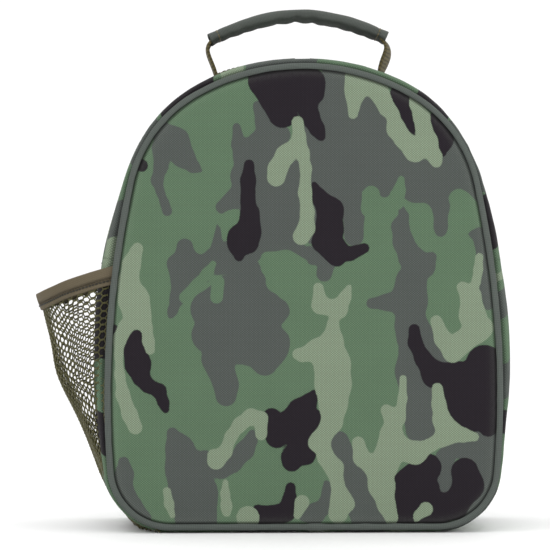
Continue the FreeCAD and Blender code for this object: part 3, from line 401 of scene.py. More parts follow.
LIGHT = (
    ((-3.4, 207.5, 3), (-2.6, 200, 3), (-1, 192, 3.2), (0.8, 184, 2.6), (0.3, 172, 3.1), (1.5, 162, 3.2),
     (1, 154, 4), (-1.5, 149.8, 4.4)),
    ((-4, 197, 3), (-9.5, 191, 4.6), (-13.5, 184, 4.6), (-14.3, 179.5, 4.6)),
    ((-84.3, 143.6, 3), (-87, 136, 4.2), (-88.5, 126, 5), (-86, 118, 7.5), (-84, 110, 6.8), (-79.5, 104, 2.6),
     (-78.6, 97, 2.7), (-77.7, 92.5, 2.4)),
    ((-90, 104, 4), (-93, 98, 3), (-93.5, 90, 1.8), (-93, 80, 2.2), (-91.5, 70, 3.2), (-88, 60, 3.6),
     (-85.2, 53.6, 3.6)),
    ((27, 226, 5), (36, 225, 4), (40, 221, 3), (44.5, 212, 3), (46.5, 204, 4.5), (50, 199, 4.2),
     (56, 193, 5.2), (62, 198, 5), (60.5, 204, 3.8), (59.3, 210, 3.9), (56, 216.5, 2.4), (54.2, 220, 1.2)),
    ((25, 230, 4.6), (25.6, 222, 4.6), (24.6, 211.5, 2.4)),
    ((26, 225, 5), (30, 225, 3.4), (36, 228, 6), (37.5, 221.5, 3.6), (41, 214, 3.4)),
    ((62, 197, 4.6), (66, 190, 3.4), (66.8, 187.3, 2.7)),
    ((-46, 40, 2.6), (-44.5, 37, 4.2), (-40, 41, 3.2), (-37, 49, 2.8), (-32.5, 55, 3.3), (-27, 59, 3.6),
     (-22, 58, 3.2), (-21.8, 50, 3)),
    ((-69.3, 21.5, 2), (-68.2, 15, 2.1), (-66.5, 9, 1.4)),
    ((-39.8, 26, 1.4), (-40, 20, 2), (-39.3, 14, 2.6), (-39.2, 10.5, 2.2)),
    ((-28.5, 8, 5.8),),
    ((-1.2, 15.6, 3.8), (-3.5, 9, 1.9)),
    ((7, 124, 2.5), (8, 115, 4), (17, 113, 4.5), (20.5, 119, 2.8), (22.5, 124, 1.5)),
    ((14.5, 106, 3), (14, 97, 5), (6, 92, 5.5), (-1, 90, 3.2), (-3.5, 90.5, 2.6)),
    ((14, 97, 5), (14, 86, 9), (14.5, 75, 9), (14.5, 65, 7), (14, 56, 5), (8, 47, 4.4), (6, 45.5, 4.2)),
    ((8, 47, 4.2), (11, 38, 4), (15, 33, 4.5), (16.5, 26, 3), (18.5, 17, 5), (17, 10, 5)),
    ((22, 14.5, 3.5),),
    ((27.2, 45.6, 3.2), (29, 38, 4), (36, 32, 4.6), (39, 24, 6.5), (41.5, 14, 4.2), (44, 8, 3.5)),
    ((44, 50, 6), (44.5, 44, 7), (40, 34, 7.5)),
    ((45, 58, 5.5), (41.5, 62, 3)),
    ((49.9, 78, 1.8), (49.6, 68, 2), (48, 58, 3)),
    ((44, 44, 6), (56, 40.5, 5.5), (64, 44.5, 3), (70, 48, 4), (73, 51, 5.5), (80, 49.5, 3.4), (86, 48.5, 2.3)),
    ((67.2, 73, 2.8), (68, 65, 3.3), (69.5, 57, 4.4), (73, 51, 5.5)),
    ((80, 124, 3), (84, 120, 5), (85, 110, 6.5), (88, 103, 6), (91, 104, 4.5)),
    ((88, 103, 6), (78, 95, 5.5), (75, 91, 4.5), (70, 98, 4), (66.7, 107, 3)),
    ((88.5, 139.5, 2), (88, 133, 2), (87, 127, 2.5)),
    ((61.3, 12, 3.7), (57.5, 9, 2), (56.5, 7, 1.2)),
)
PRINT = {"print_grey": GREY, "print_green": GREEN, "print_black": BLACK, "print_light": LIGHT}


# How near strokes have to come to run together, and a depth outside every stroke.
MERGE = 2.2
FAR_OUTSIDE = -60.0


def stroke_depth(strokes, x, z):
    """How far each point lies inside the strokes, in millimetres, negative outside. Strokes run together softly."""
    depth = np.full(np.shape(x), FAR_OUTSIDE)
    for stroke in strokes:
        for (x0, z0, r0), (x1, z1, r1) in zip(stroke, stroke[1:] or stroke):
            reach = max((x1 - x0) ** 2 + (z1 - z0) ** 2, 1e-6)
            t = np.clip(((x - x0) * (x1 - x0) + (z - z0) * (z1 - z0)) / reach, 0, 1)
            inside = r0 + (r1 - r0) * t - np.hypot(x - x0 - (x1 - x0) * t, z - z0 - (z1 - z0) * t)
            share = np.clip(0.5 + 0.5 * (inside - depth) / MERGE, 0, 1)
            depth = depth * (1 - share) + inside * share + MERGE * share * (1 - share)
    return depth


def print_fields(x, z):
    """The print at points x, z of the cloth."""
    return {key: stroke_depth(strokes, x, z) for key, strokes in PRINT.items()}


# ---------------------------------------------------------------------------------- materials

class Look:
    """A node material, built up from the principled shader."""

    def __init__(self, name, roughness=0.8, specular=0.3, metallic=0.0, sheen=0.0):
        self.material = bpy.data.materials.new(name)
        self.material.use_nodes = True
        self.tree = self.material.node_tree
        self.shader = self.tree.nodes["Principled BSDF"]
        self.shader.inputs["Roughness"].default_value = roughness
        self.shader.inputs["Specular IOR Level"].default_value = specular
        self.shader.inputs["Metallic"].default_value = metallic
        self.shader.inputs["Sheen Weight"].default_value = sheen
        self.shader.inputs["Sheen Roughness"].default_value = 0.4

    def node(self, kind, **values):
        made = self.tree.nodes.new(kind)
        for key, value in values.items():
            setattr(made, key, value)
        return made

    def feed(self, socket, value):
        if isinstance(value, bpy.types.NodeSocket):
            self.tree.links.new(value, socket)
        else:
            socket.default_value = value

    def math(self, operation, a, b=0.0, c=0.0, clamp=False):
        made = self.node("ShaderNodeMath", operation=operation, use_clamp=clamp)
        for socket, value in zip(made.inputs, (a, b, c)):
            self.feed(socket, value)
        return made.outputs[0]

    def mix(self, share, a, b, how="MIX"):
        made = self.node("ShaderNodeMix", data_type="RGBA", blend_type=how)
        self.feed(made.inputs[0], share)
        self.feed(made.inputs[6], a)
        self.feed(made.inputs[7], b)
        return made.outputs[2]

    def value(self, name):
        return self.node("ShaderNodeAttribute", attribute_name=name).outputs["Fac"]

    def noise(self, scale, detail=2.0, roughness=0.5):
        made = self.node("ShaderNodeTexNoise")
        self.feed(made.inputs["Scale"], scale)
        self.feed(made.inputs["Detail"], detail)
        self.feed(made.inputs["Roughness"], roughness)
        self.feed(made.inputs["Vector"], self.place())
        return made.outputs["Fac"]

    def place(self):
        """The rest position on the piece, in metres."""
        return self.node("ShaderNodeTexCoord").outputs["Object"]

    def threads(self):
        """The directions of the threads, in metres."""
        split = self.node("ShaderNodeSeparateXYZ")
        self.feed(split.inputs[0], self.node("ShaderNodeUVMap", uv_map="UVMap").outputs["UV"])
        return split.outputs[0], split.outputs[1]

    def weave(self, warp, weft):
        """A plain weave with yarns warp and weft millimetres apart: its height, and where the warp lies on top."""
        across, along = self.threads()
        turn_u = self.math("SINE", self.math("MULTIPLY", across, math.pi / (warp * MM)))
        turn_v = self.math("SINE", self.math("MULTIPLY", along, math.pi / (weft * MM)))
        over = self.math("MULTIPLY_ADD", self.math("MULTIPLY", turn_u, turn_v), 1.6, 0.5, clamp=True)
        round_u, round_v = self.math("ABSOLUTE", turn_u), self.math("ABSOLUTE", turn_v)
        rise = self.math("MULTIPLY", round_u, over)
        return self.math("MULTIPLY_ADD", round_v, self.math("SUBTRACT", 1.0, over), rise), over

    def ribs(self, pitch, along=False, slant=0.0):
        """Height from 0 to 1 of ridges a pitch apart, across the first thread direction or along it."""
        u, v = self.threads()
        if along:
            u, v = v, u
        lean = self.math("MULTIPLY_ADD", v, slant, u)
        return self.math("ABSOLUTE", self.math("SINE", self.math("MULTIPLY", lean, math.pi / (pitch * MM))))

    def bump(self, height, depth, strength=1.0, below=None):
        made = self.node("ShaderNodeBump")
        made.inputs["Strength"].default_value = strength
        made.inputs["Distance"].default_value = depth * MM
        self.feed(made.inputs["Height"], height)
        if below is not None:
            self.feed(made.inputs["Normal"], below)
        return made.outputs[0]

    def done(self, colour, normal=None, roughness=None):
        self.feed(self.shader.inputs["Base Color"], colour)
        if normal is not None:
            self.feed(self.shader.inputs["Normal"], normal)
        if roughness is not None:
            self.feed(self.shader.inputs["Roughness"], roughness)
        return self.material


def rgb(red, green, blue):
    """A colour from display values of 0 to 255, as the linear values that nodes take."""
    linear = [((c / 255 + 0.055) / 1.055) ** 2.4 if c > 10 else c / 255 / 12.92 for c in (red, green, blue)]
    return (*linear, 1.0)


def shaded(look, colour, amount, cover):
    """The colour, darkened by amount where cover, from 0 to 1, is low."""
    grey = look.node("ShaderNodeCombineColor")
    level = look.math("MULTIPLY_ADD", cover, amount, 1 - amount)
    for socket in grey.inputs:
        look.feed(socket, level)
    return look.mix(1.0, colour, grey.outputs[0], "MULTIPLY")


def cloth(name, colour, warp=0.62, weft=0.55, depth=0.12, contrast=0.22, patch=0.07, **shader):
    """A woven cloth of one dye, with yarns that vary a little and a faint cloudiness."""
    look = Look(name, **shader)
    weave, over = look.weave(warp, weft)
    tone = shaded(look, shaded(look, colour, contrast, weave), contrast * 0.6, over)
    tone = shaded(look, tone, patch * 2, look.noise(60.0, 3.0))
    tone = shaded(look, tone, 0.10, look.noise(2200.0, 1.0))
    coarse = look.bump(look.noise(420.0, 2.0), 0.12, 0.5)
    return look.done(tone, look.bump(weave, depth, 0.7, coarse))


MID_GREEN = (108, 135, 107)
DARK_GREY = (95, 101, 97)
NEAR_BLACK = (42, 36, 43)
LIGHT_GREEN = (150, 167, 141)


def printed_cloth():
    """Camouflage print on a plain weave: crisp edges that waver by a yarn, a little wear at the folds, and painted
    shade in the seam creases.
    """
    look = Look("printed_cloth", roughness=0.85, specular=0.14, sheen=0.02)
    weave, over = look.weave(0.66, 0.58)
    waver = look.math("MULTIPLY_ADD", look.noise(1100.0, 2.0), 0.5, -0.25)
    colour = rgb(*MID_GREEN)
    for field, tint in (("print_grey", DARK_GREY), ("print_green", MID_GREEN), ("print_black", NEAR_BLACK),
                        ("print_light", LIGHT_GREEN)):
        depth = look.math("ADD", look.value(field), waver)
        edge = look.math("MULTIPLY_ADD", depth, 2.2, 0.5, clamp=True)
        colour = look.mix(edge, colour, rgb(*tint))
    tone = shaded(look, shaded(look, colour, 0.5, weave), 0.42, over)
    tone = shaded(look, tone, 0.10, look.noise(45.0, 3.0))
    tone = shaded(look, tone, 0.10, look.noise(1900.0, 1.0))
    worn = look.math("MULTIPLY", look.value("wear"), look.noise(700.0, 3.0))
    tone = look.mix(look.math("MULTIPLY", worn, 0.05, clamp=True), tone, rgb(178, 186, 172))
    # Painted shade: the cloth goes to near black along the creases at its seams, where this mask is low.
    tone = shaded(look, tone, 0.85, look.value("open"))
    slub = look.math("MULTIPLY_ADD", look.ribs(2.6), 0.3, look.noise(300.0, 2.0))
    normal = look.bump(weave, 0.13, 0.75, look.bump(slub, 0.10, 0.45))
    rough = look.math("MULTIPLY_ADD", weave, -0.10, 0.88)
    return look.done(tone, normal, rough)


PRINTED = printed_cloth()
PIPING = cloth("piping_cloth", rgb(97, 104, 99), warp=0.66, weft=0.62, contrast=0.45, roughness=0.8, specular=0.2)
GRIP = cloth("grip_cloth", rgb(100, 105, 100), warp=0.7, weft=0.66, contrast=0.5, roughness=0.85, specular=0.15)
RIM = cloth("rim_cloth", rgb(109, 99, 80), warp=0.7, weft=0.5, contrast=0.28, roughness=0.85, specular=0.2)
BINDING = cloth("binding_cloth", rgb(62, 66, 64), warp=0.8, weft=0.5, roughness=0.85, specular=0.2)
ZIP_TAPE = cloth("zip_tape_cloth", rgb(44, 47, 46), warp=0.5, weft=0.9, depth=0.1, roughness=0.8, specular=0.25)


def webbing_look():
    look = Look("webbing_cloth", roughness=0.75, specular=0.3, sheen=0.05)
    ridge = look.ribs(2.0, slant=0.06)
    cross = look.ribs(1.6, along=True)
    height = look.math("MULTIPLY_ADD", cross, 0.2, look.math("MULTIPLY", ridge, 0.8))
    tone = look.mix(look.noise(900.0, 2.0), rgb(74, 66, 36), rgb(102, 92, 54))
    tone = shaded(look, tone, 0.75, height)
    return look.done(tone, look.bump(height, 0.35, 0.9))


def net_look():
    look = Look("net_cord", roughness=0.55, specular=0.4, sheen=0.05)
    fibre = look.noise(2600.0, 2.0)
    tone = look.mix(look.noise(120.0, 2.0), rgb(66, 64, 26), rgb(94, 90, 44))
    tone = shaded(look, tone, 0.35, fibre)
    return look.done(tone, look.bump(fibre, 0.15, 0.8))


def thread_look(name, colour):
    look = Look(name, roughness=0.5, specular=0.45)
    twist = look.ribs(0.35, slant=0.8)
    return look.done(shaded(look, colour, 0.3, twist), look.bump(twist, 0.05, 0.6))


def liner_look():
    look = Look("liner_film", roughness=0.36, specular=0.5)
    crease = look.noise(55.0, 4.0, roughness=0.62)
    fine = look.noise(420.0, 3.0)
    tone = look.mix(look.noise(18.0, 2.0), rgb(176, 179, 181), rgb(196, 199, 200))
    tone = shaded(look, tone, 0.10, look.noise(140.0, 3.0))
    rough = look.math("MULTIPLY_ADD", fine, 0.18, 0.27)
    return look.done(tone, look.bump(fine, 0.12, 0.5, look.bump(crease, 2.2, 0.8)), rough)


def foam_look():
    look = Look("foam", roughness=0.95, specular=0.15)
    cell = look.node("ShaderNodeTexVoronoi")
    look.feed(cell.inputs["Scale"], 900.0)
    look.feed(cell.inputs["Vector"], look.place())
    tone = shaded(look, rgb(232, 230, 222), 0.3, cell.outputs["Distance"])
    return look.done(tone, look.bump(cell.outputs["Distance"], 0.3, 0.6))


def plastic_look():
    look = Look("zip_nylon", roughness=0.42, specular=0.45)
    fine = look.noise(1500.0, 2.0)
    tone = look.mix(fine, rgb(40, 42, 41), rgb(58, 60, 58))
    return look.done(tone, look.bump(fine, 0.05, 0.5), look.math("MULTIPLY_ADD", fine, 0.2, 0.3))


def metal_look():
    look = Look("enamelled_zinc", roughness=0.35, specular=0.5, metallic=0.35)
    scuff = look.noise(700.0, 4.0, roughness=0.7)
    worn = look.math("MULTIPLY_ADD", scuff, 6.0, -3.9, clamp=True)
    tone = look.mix(worn, rgb(70, 74, 70), rgb(150, 150, 146))
    rough = look.math("MULTIPLY_ADD", scuff, 0.3, 0.2)
    return look.done(tone, look.bump(scuff, 0.06, 0.5), rough)


WEBBING, NET, LINER, FOAM = webbing_look(), net_look(), liner_look(), foam_look()
NYLON, METAL = plastic_look(), metal_look()
DARK_THREAD = thread_look("dark_thread", rgb(34, 32, 20))
KHAKI_THREAD = thread_look("khaki_thread", rgb(104, 92, 58))
GREEN_THREAD = thread_look("green_thread", rgb(88, 100, 86))


# ---------------------------------------------------------------------------------- sewing helpers


def cross_fold(piece):
    """Bakes the piece's transform into its mesh."""
    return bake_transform(piece)


def fold_gusset(piece):
    """Bakes the piece's transform into its mesh."""
    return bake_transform(piece)


def run_along(path):
    """Distance along a path of points, from its start to each of them."""
    return np.concatenate([[0.0], np.cumsum(np.linalg.norm(np.diff(path, axis=0), axis=1))])


def stitch_row(path, normal, length=2.6, gap=0.7, thread=0.24):
    """Short shapes of thread along a path of points, each dipping into the cloth at both ends."""
    path, normal = np.asarray(path, float), np.asarray(normal, float)
    run = run_along(path)
    shapes = []
    start = gap / 2
    while start + length < run[-1]:
        s = start + np.array([0, 0.12, 0.35, 0.65, 0.88, 1]) * length
        point = np.stack([np.interp(s, run, path[:, k]) for k in range(3)], 1)
        up = np.stack([np.interp(s, run, normal[:, k]) for k in range(3)], 1)
        lift = np.array([-0.22, 0.04, 0.16, 0.16, 0.04, -0.22])[:, None]
        shapes.append(tube(point + up * lift, thread))
        start += length + gap
    return shapes


# ---------------------------------------------------------------------------------- front and back panels

# How far inside the outline a panel's cloth starts, and how far behind the CAD panel's face its seam lies.
PANEL_INSET = 2.8
PANEL_SINK = 2.8


def panel_points(inset, steps, pitch):
    """Points over the arch: rings along the seam, an even field inside, and the triangles between them."""
    rings = []
    for depth in inset + np.array(steps):
        s = np.linspace(0, ROUND, int(ROUND / pitch), endpoint=False)
        rings.append(arch(s, np.full(len(s), -depth))[0])
    rows = []
    for row, z in enumerate(np.arange(BOTTOM, TOP, pitch * 0.866)):
        x = np.arange(-HALF_WIDTH, HALF_WIDTH, pitch) + (row % 2) * pitch / 2
        rows.append(np.column_stack([x, np.full(len(x), z)]))
    field = np.vstack(rows)
    field = field[np.abs(field[:, 0]) < half_width_at(field[:, 1])]
    field = field[arch_inside(field[:, 0], field[:, 1]) > inset + steps[-1] + pitch * 0.8]
    flat = np.vstack([*rings, field])
    edge = len(rings[0])
    border = [(k, (k + 1) % edge) for k in range(edge)]
    points, _, faces, *_ = geometry.delaunay_2d_cdt([Vector(p) for p in flat], border, [], 1, 1e-6)
    return np.array(points), faces


PANEL, PANEL_FACES = panel_points(PANEL_INSET, (0, 0.25, 0.55, 0.95, 1.5, 2.3, 3.4, 4.8), 1.6)
PANEL_IN = arch_inside(PANEL[:, 0], PANEL[:, 1])


def panel_face(seed):
    """How far a fabric panel stands out from its seam: a quick turn at the piping, then a shallow crown."""
    depth = PANEL_IN - PANEL_INSET
    flat = upright(PANEL)
    rise = 2.5 * (1 - np.exp(-depth / 0.7)) + (1 - np.exp(-depth / 34.0))
    pucker = bumps(flat, 7.0, seed) * 0.22 * np.exp(-depth / 6.0)
    slack = bumps(flat, 55.0, seed + 3) * 0.55 * (1 - np.exp(-depth / 15.0)) + bumps(flat, 21.0, seed + 5) * 0.12
    return rise + pucker + slack


def make_panel(name, side, x_print, z_print, seed):
    """A fabric panel on the front (side -1) or the back (side 1)."""
    y = side * (PANEL_Y - PANEL_SINK + panel_face(seed))
    fields = print_fields(x_print, z_print)
    # Painted shade mask: near zero in the crease just inside the piping, where the cloth is darkened.
    fields["open"] = ease((PANEL_IN - PANEL_INSET - 1.1) / 1.3)
    fields["wear"] = np.exp(-((PANEL_IN - PANEL_INSET - 2.0) / 2.0) ** 2)
    panel = plan_piece(name, PANEL, y, turned(PANEL_FACES, side > 0), fields)
    return thicken(dress(panel, PRINTED), 0.8, offset=1.0)


front = make_panel("front_panel_cloth", -1, PANEL[:, 0], PANEL[:, 1], 1.0)
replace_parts(front, "lower_front_panel", "lid_front_panel")
cross_fold(front)
back = make_panel("back_panel_cloth", 1, 13 - PANEL[:, 0] * 0.98, TOP - PANEL[:, 1], 9.0)
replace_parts(back, "back_panel")
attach(back, "bag")


# ---------------------------------------------------------------------------------- piping

PIPING_STEPS, PIPING_SIDES = 560, 14
# The bias strip's threads lie at 45 degrees.
BIAS = 0.7071


def make_piping(name, side, seed):
    """Cord in a bias strip, which twists and dimples a little, with its ends lapped under the base."""
    s = np.linspace(0, ROUND, PIPING_STEPS, endpoint=False)
    around = np.arange(PIPING_SIDES) / PIPING_SIDES * 2 * math.pi
    middle, normal = arch(s, np.full(len(s), -PIPING_R))
    centre, out = upright(middle, side * PIPING_Y), upright(normal)
    dimple = 1 + 0.035 * bumps(centre, 3.2, seed) + 0.03 * bumps(centre, 11.0, seed + 2)
    lap = 1 + 0.13 * (ease((s - 1.2) / 0.5) - ease((s - 9.0) / 1.0))
    slim = PIPING_R * (0.9 - 0.1 * ease((middle[:, 1] - 150) / 40))
    centre = centre + out * (PIPING_R - slim)[:, None]
    radius = (slim * dimple * lap)[:, None, None]
    ring = np.cos(around)[None, :, None] * out[:, None] + np.sin(around)[None, :, None] * np.array([0, side, 0])
    points = centre[:, None] + radius * ring
    u = np.append(s, ROUND)
    v = np.arange(PIPING_SIDES + 1) / PIPING_SIDES * 2 * math.pi * PIPING_R
    slanted_u = (u[:, None] + v[None]) * BIAS
    slanted_v = (u[:, None] - v[None]) * BIAS
    piece = surface(name, points, slanted_u, slanted_v, around_u=True, around_v=True, flip=side < 0)
    return dress(piece, PIPING)


front_piping = make_piping("front_piping_cloth", -1, 2.0)
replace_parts(front_piping, "lower_front_piping", "lid_front_piping")
cross_fold(front_piping)
back_piping = make_piping("back_piping_cloth", 1, 5.0)
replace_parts(back_piping, "back_piping")
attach(back_piping, "bag")


# ---------------------------------------------------------------------------------- gusset

# How full the gusset is, from the middle of the base round by the right: tight corners and shoulders,
# slack sides, and more on the left, where the pocket pulls.
FULLNESS = ((0, 0.05), (110, 0.05), (180, 1.0), (240, 0.8), (280, 0.1), (330, 0.7), (380, 0.5), (420, 0.7),
            (480, 0.15), (540, 1.3), (590, 1.1), (660, 0.1), (760, 0.05))


def fullness(s):
    s = np.asarray(s, float) % ROUND
    total = np.full_like(s, FULLNESS[0][1])
    for (start, low), (end, high) in zip(FULLNESS, FULLNESS[1:]):
        total = total + (high - low) * ease((s - start) / (end - start))
    return total


# The gusset's cloth starts this far inside the outline, and its dip for the zip goes down to one height, but no
# further than a depth. The dip fades out over a height about the zip's end and over a width to each side.
SEAM_SINK = 1.8
DIP_TO, DIP_MOST = 1.7, 4.2
DIP_BELOW, DIP_FADE, DIP_WIDTH = 26, 24, 10.5


def gusset_rise(s, y):
    """How far the gusset's cloth stands beyond the outline: it swells between its seams and dips at the zip."""
    seam = np.clip(SEAM_Y - np.abs(y), 0, None)
    full = sum(fullness(np.asarray(s) + step) for step in (-9, -4.5, 0, 4.5, 9)) / 5
    swell = -SEAM_SINK + (3.2 + 1.3 * full) * (1 - np.exp(-seam / 1.1)) + 4.0 * full * (1 - np.exp(-seam / 8.0))
    swell = swell + 1.6 * (1 - full) * ease((seam - 8) / 25)
    height = arch(s)[0][..., 1]
    zipped = ease((height - ZIP_END + DIP_BELOW) / DIP_FADE)
    dip = np.minimum(np.maximum(DIP_TO - swell, -DIP_MOST), 0)
    return swell + dip * zipped * np.exp(-((y - ZIP_Y) / DIP_WIDTH) ** 2)


def gusset_points(s, y, seed=3.0, sink=0.0):
    """Points of the gusset's cloth over a grid of distances s along the outline and depths y."""
    grid_s, grid_y = grid(s, y)
    seam = SEAM_Y - np.abs(grid_y)
    rise = gusset_rise(grid_s, grid_y)
    flat, _ = arch(grid_s)
    place = upright(flat, grid_y)
    rise = rise + bumps(place, 6.5, seed) * 0.30 * np.exp(-seam / 6.0) * ease(seam / 1.5)
    rise = rise + bumps(place, 34.0, seed + 4) * 0.55 * ease(seam / 12)
    point, _ = arch(grid_s, rise - sink)
    floor = 0.25 + 0.12 * bumps(place, 25.0, seed + 8)
    z = np.maximum(point[..., 1], floor + sink * 0.9)
    return np.stack([point[..., 0], grid_y, z], -1)


def gusset_print(s, y):
    """Places in the print for the gusset: upwards from the middle of the base, and crosswise over the crown."""
    grid_s, grid_y = grid(s, y)
    if s.mean() > FOLD_S:
        return (grid_s - ROUND / 2) * 0.62, 120 + grid_y
    return grid_y + 40 * np.sin(grid_s / 110), 10 + np.abs(grid_s)


# The strip of gusset that shows beside the front ends at this depth. Its bands of colour are given as
# (distance along the outline, half-width).
STRIP = -20.0
SIDE_PRINT = {
    "print_black": ((arch_height(158), 14), (arch_height(54), 6), (ROUND / 2 - 68, 10), (ROUND / 2 + 62, 16),
                    (ROUND - arch_height(105), 19), (ROUND - arch_height(50), 11)),
    "print_light": ((arch_height(128), 2), (ROUND / 2 + 38, 6), (ROUND - arch_height(141), 8)),
    "print_grey": ((arch_height(115), 7), (arch_height(77), 9), (arch_height(192), 20), (ROUND / 2 + 13, 18),
                   (ROUND - arch_height(199), 13), (ROUND - arch_height(159), 10)),
}


def side_fields(s, y):
    """The print along the gusset, with the bands that show beside the front laid over it, above the pocket's foot."""
    fields = print_fields(*gusset_print(s, y))
    grid_s, grid_y = grid(s % ROUND, y)
    strip = np.minimum(STRIP + 4 * np.sin(grid_s / 9) - grid_y, arch(grid_s)[0][..., 1] - 30)
    for key in fields:
        fields[key] = np.minimum(fields[key], -strip)
        for middle, half in SIDE_PRINT.get(key, ()):
            lean = middle + 2.0 * np.sin(grid_y / 4 + middle)
            fields[key] = np.maximum(fields[key], np.minimum(half - np.abs(grid_s - lean), strip))
    return fields


# A hem's turn down to the zip: (towards the zip, down) from the edge, and the length of cloth used by then.
HEM_LIP = ((0.35, 0.45), (0.35, 2.2), (-0.2, 3.6))
HEM_CLOTH = np.array([0.6, 2.4, 3.8])


def make_gusset(name, s, y, hem=0):
    """A strip of printed cloth along the outline. hem is +1 or -1 for a last or first edge turned down to the zip."""
    points, v = gusset_points(s, y), np.asarray(y, float)
    fields = side_fields(np.asarray(s), v)
    seam = SEAM_Y - np.abs(grid(s, y)[1])
    # Painted shade mask: near zero in the crease along each seam, where the cloth is darkened.
    fields["open"] = ease(seam / 2.2)
    fields["wear"] = np.exp(-((seam - 4.0) / 2.5) ** 2)
    if hem:
        order = slice(None, None, hem)
        down = upright(arch(s)[1])
        edge = points[:, order][:, -1]
        lip = np.stack([edge + np.array([0, out * hem, 0]) - down * drop for out, drop in HEM_LIP], 1)
        points = np.concatenate([points[:, order], lip], 1)[:, order]
        v = np.append(v[order], v[order][-1] + hem * HEM_CLOTH)[order]
        for key, value in fields.items():
            value = value[:, order]
            fields[key] = np.concatenate([value, np.repeat(value[:, -1:], len(HEM_LIP), 1)], 1)[:, order]
    piece = surface(name, points, s, v, fields, flip=True)
    return thicken(dress(piece, PRINTED), 0.8)


def depths(first, last, pitch=2.0):
    """Depths from first to last, closer together near the seams."""
    inner = np.linspace(first, last, max(3, int((last - first) / pitch)))
    close = [0.0, 0.4, 0.9, 1.5, 2.3, 3.3]
    low = [first + c for c in close] if first < -SEAM_Y + 1 else [first]
    high = [last - c for c in close][::-1] if last > SEAM_Y - 1 else [last]
    middle = [y for y in inner if low[-1] + 0.8 < y < high[0] - 0.8]
    return np.array(low + middle + high)


FOLD_S = arch_height(FOLD)
LOW_S = np.linspace(-FOLD_S, FOLD_S, 230)
HIGH_S = np.linspace(FOLD_S, ROUND - FOLD_S, 260)

base_cloth = make_gusset("base_gusset_cloth", LOW_S, depths(-SEAM_Y, SEAM_Y))
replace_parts(base_cloth, "base_gusset")
fold_gusset(base_cloth)
rear_cloth = make_gusset("rear_gusset_cloth", HIGH_S, depths(REAR_EDGE, SEAM_Y), hem=-1)
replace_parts(rear_cloth, "rear_gusset")
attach(rear_cloth, "bag")
lid_cloth = make_gusset("lid_gusset_cloth", HIGH_S, depths(-SEAM_Y, LID_EDGE), hem=1)
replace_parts(lid_cloth, "lid_gusset")
fold_gusset(lid_cloth)


# ---------------------------------------------------------------------------------- foam, liner and bindings

BOARD_OUT, BOARD_IN = 0.3, -4.5
LINER_OUT = -4.65
BINDING_MIDDLE = -6.6
BOARD_EDGE = 41.6
LINER_EDGE = 41.3
# How far the foam and the film stop short of the hems at the zip.
FOAM_SHORT, FILM_SHORT = 4.5, 3
BINDING_Y = (span("back_seam_binding")[0][1] + span("back_seam_binding")[1][1]) / 2
BACK_FOAM_IN, BACK_FOAM_OUT = (corner[1] for corner in span("back_board"))
PANEL_FOAM_INSET, PANEL_FILM_INSET = 6.0, 5.6


def band(s, y, grow):
    """Points over a grid of distances along the outline and depths, moved out by grow."""
    grid_s, grid_y = grid(s, y)
    flat, _ = arch(grid_s, np.broadcast_to(grow, grid_s.shape))
    return upright(flat, grid_y)


def make_board(name, s, y, node):
    """The foam in the gusset: it fills out to the cloth where the cloth comes in, and else keeps its thickness."""
    grid_s, grid_y = grid(s, y)
    outside = np.minimum(gusset_rise(grid_s, grid_y) - 1.5, BOARD_OUT)
    outer, inner = band(s, y, outside), band(s, y, BOARD_IN)
    board = dress(slab(name, outer, inner, s, y), FOAM)
    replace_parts(board, node)
    return board


def make_liner(name, s, y, node, seed):
    """The film inside the gusset, crinkled where it wasn't pulled tight."""
    place = band(s, y, LINER_OUT)
    crinkle = 0.35 + 0.35 * np.abs(bumps(place, 11.0, seed)) + 0.5 * np.abs(bumps(place, 30.0, seed + 2))
    crinkle = crinkle * ease((LINER_EDGE - np.abs(place[..., 1])) / 9)
    outer, inner = band(s, y, LINER_OUT - crinkle), band(s, y, LINER_OUT - 0.5 - crinkle)
    liner = dress(slab(name, outer, inner, s, y), LINER)
    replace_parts(liner, node)
    return liner


# Half the width and half the thickness of a folded binding, the points and the cloth around it, and how far
# its stitches lie below its middle.
BINDING_WIDE, BINDING_THICK = 4.4, 1.15
BINDING_SIDES, BINDING_ROUND = 20, 21.0
BINDING_STITCH = 0.62


def make_binding(name, s, y, node, closed=False):
    """Tape folded over the raw edges of a seam, with a row of stitches through it."""
    around = np.arange(BINDING_SIDES) / BINDING_SIDES * 2 * math.pi
    cos, sin = np.cos(around), np.sin(around)
    square = (np.abs(cos) ** 5 + np.abs(sin) ** 5) ** -0.2
    flat, normal = arch(s)
    out = upright(normal)
    centre = upright(flat, y) + BINDING_MIDDLE * out
    pinch = 1 - 0.45 * np.exp(-(cos * BINDING_WIDE / 0.9) ** 2)
    ripple = 1 + 0.10 * bumps(centre, 5.0, y)
    tall = (BINDING_THICK * square * sin * pinch)[None, :, None] * ripple[:, None, None] * out[:, None]
    points = centre[:, None] + tall + (BINDING_WIDE * square * cos)[None, :, None] * np.array([0, 1, 0])
    turn = np.arange(BINDING_SIDES + 1) / BINDING_SIDES * BINDING_ROUND
    run = np.append(s, ROUND) if closed else s
    piece = surface(name, points, run, turn, around_u=closed, around_v=True, flip=True)
    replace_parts(dress(piece, BINDING), node)
    line = centre - out * BINDING_STITCH
    sewn = join_shapes(name + "_stitching", stitch_row(line, -out, 2.6, 0.7, 0.22), DARK_THREAD)
    return piece, sewn


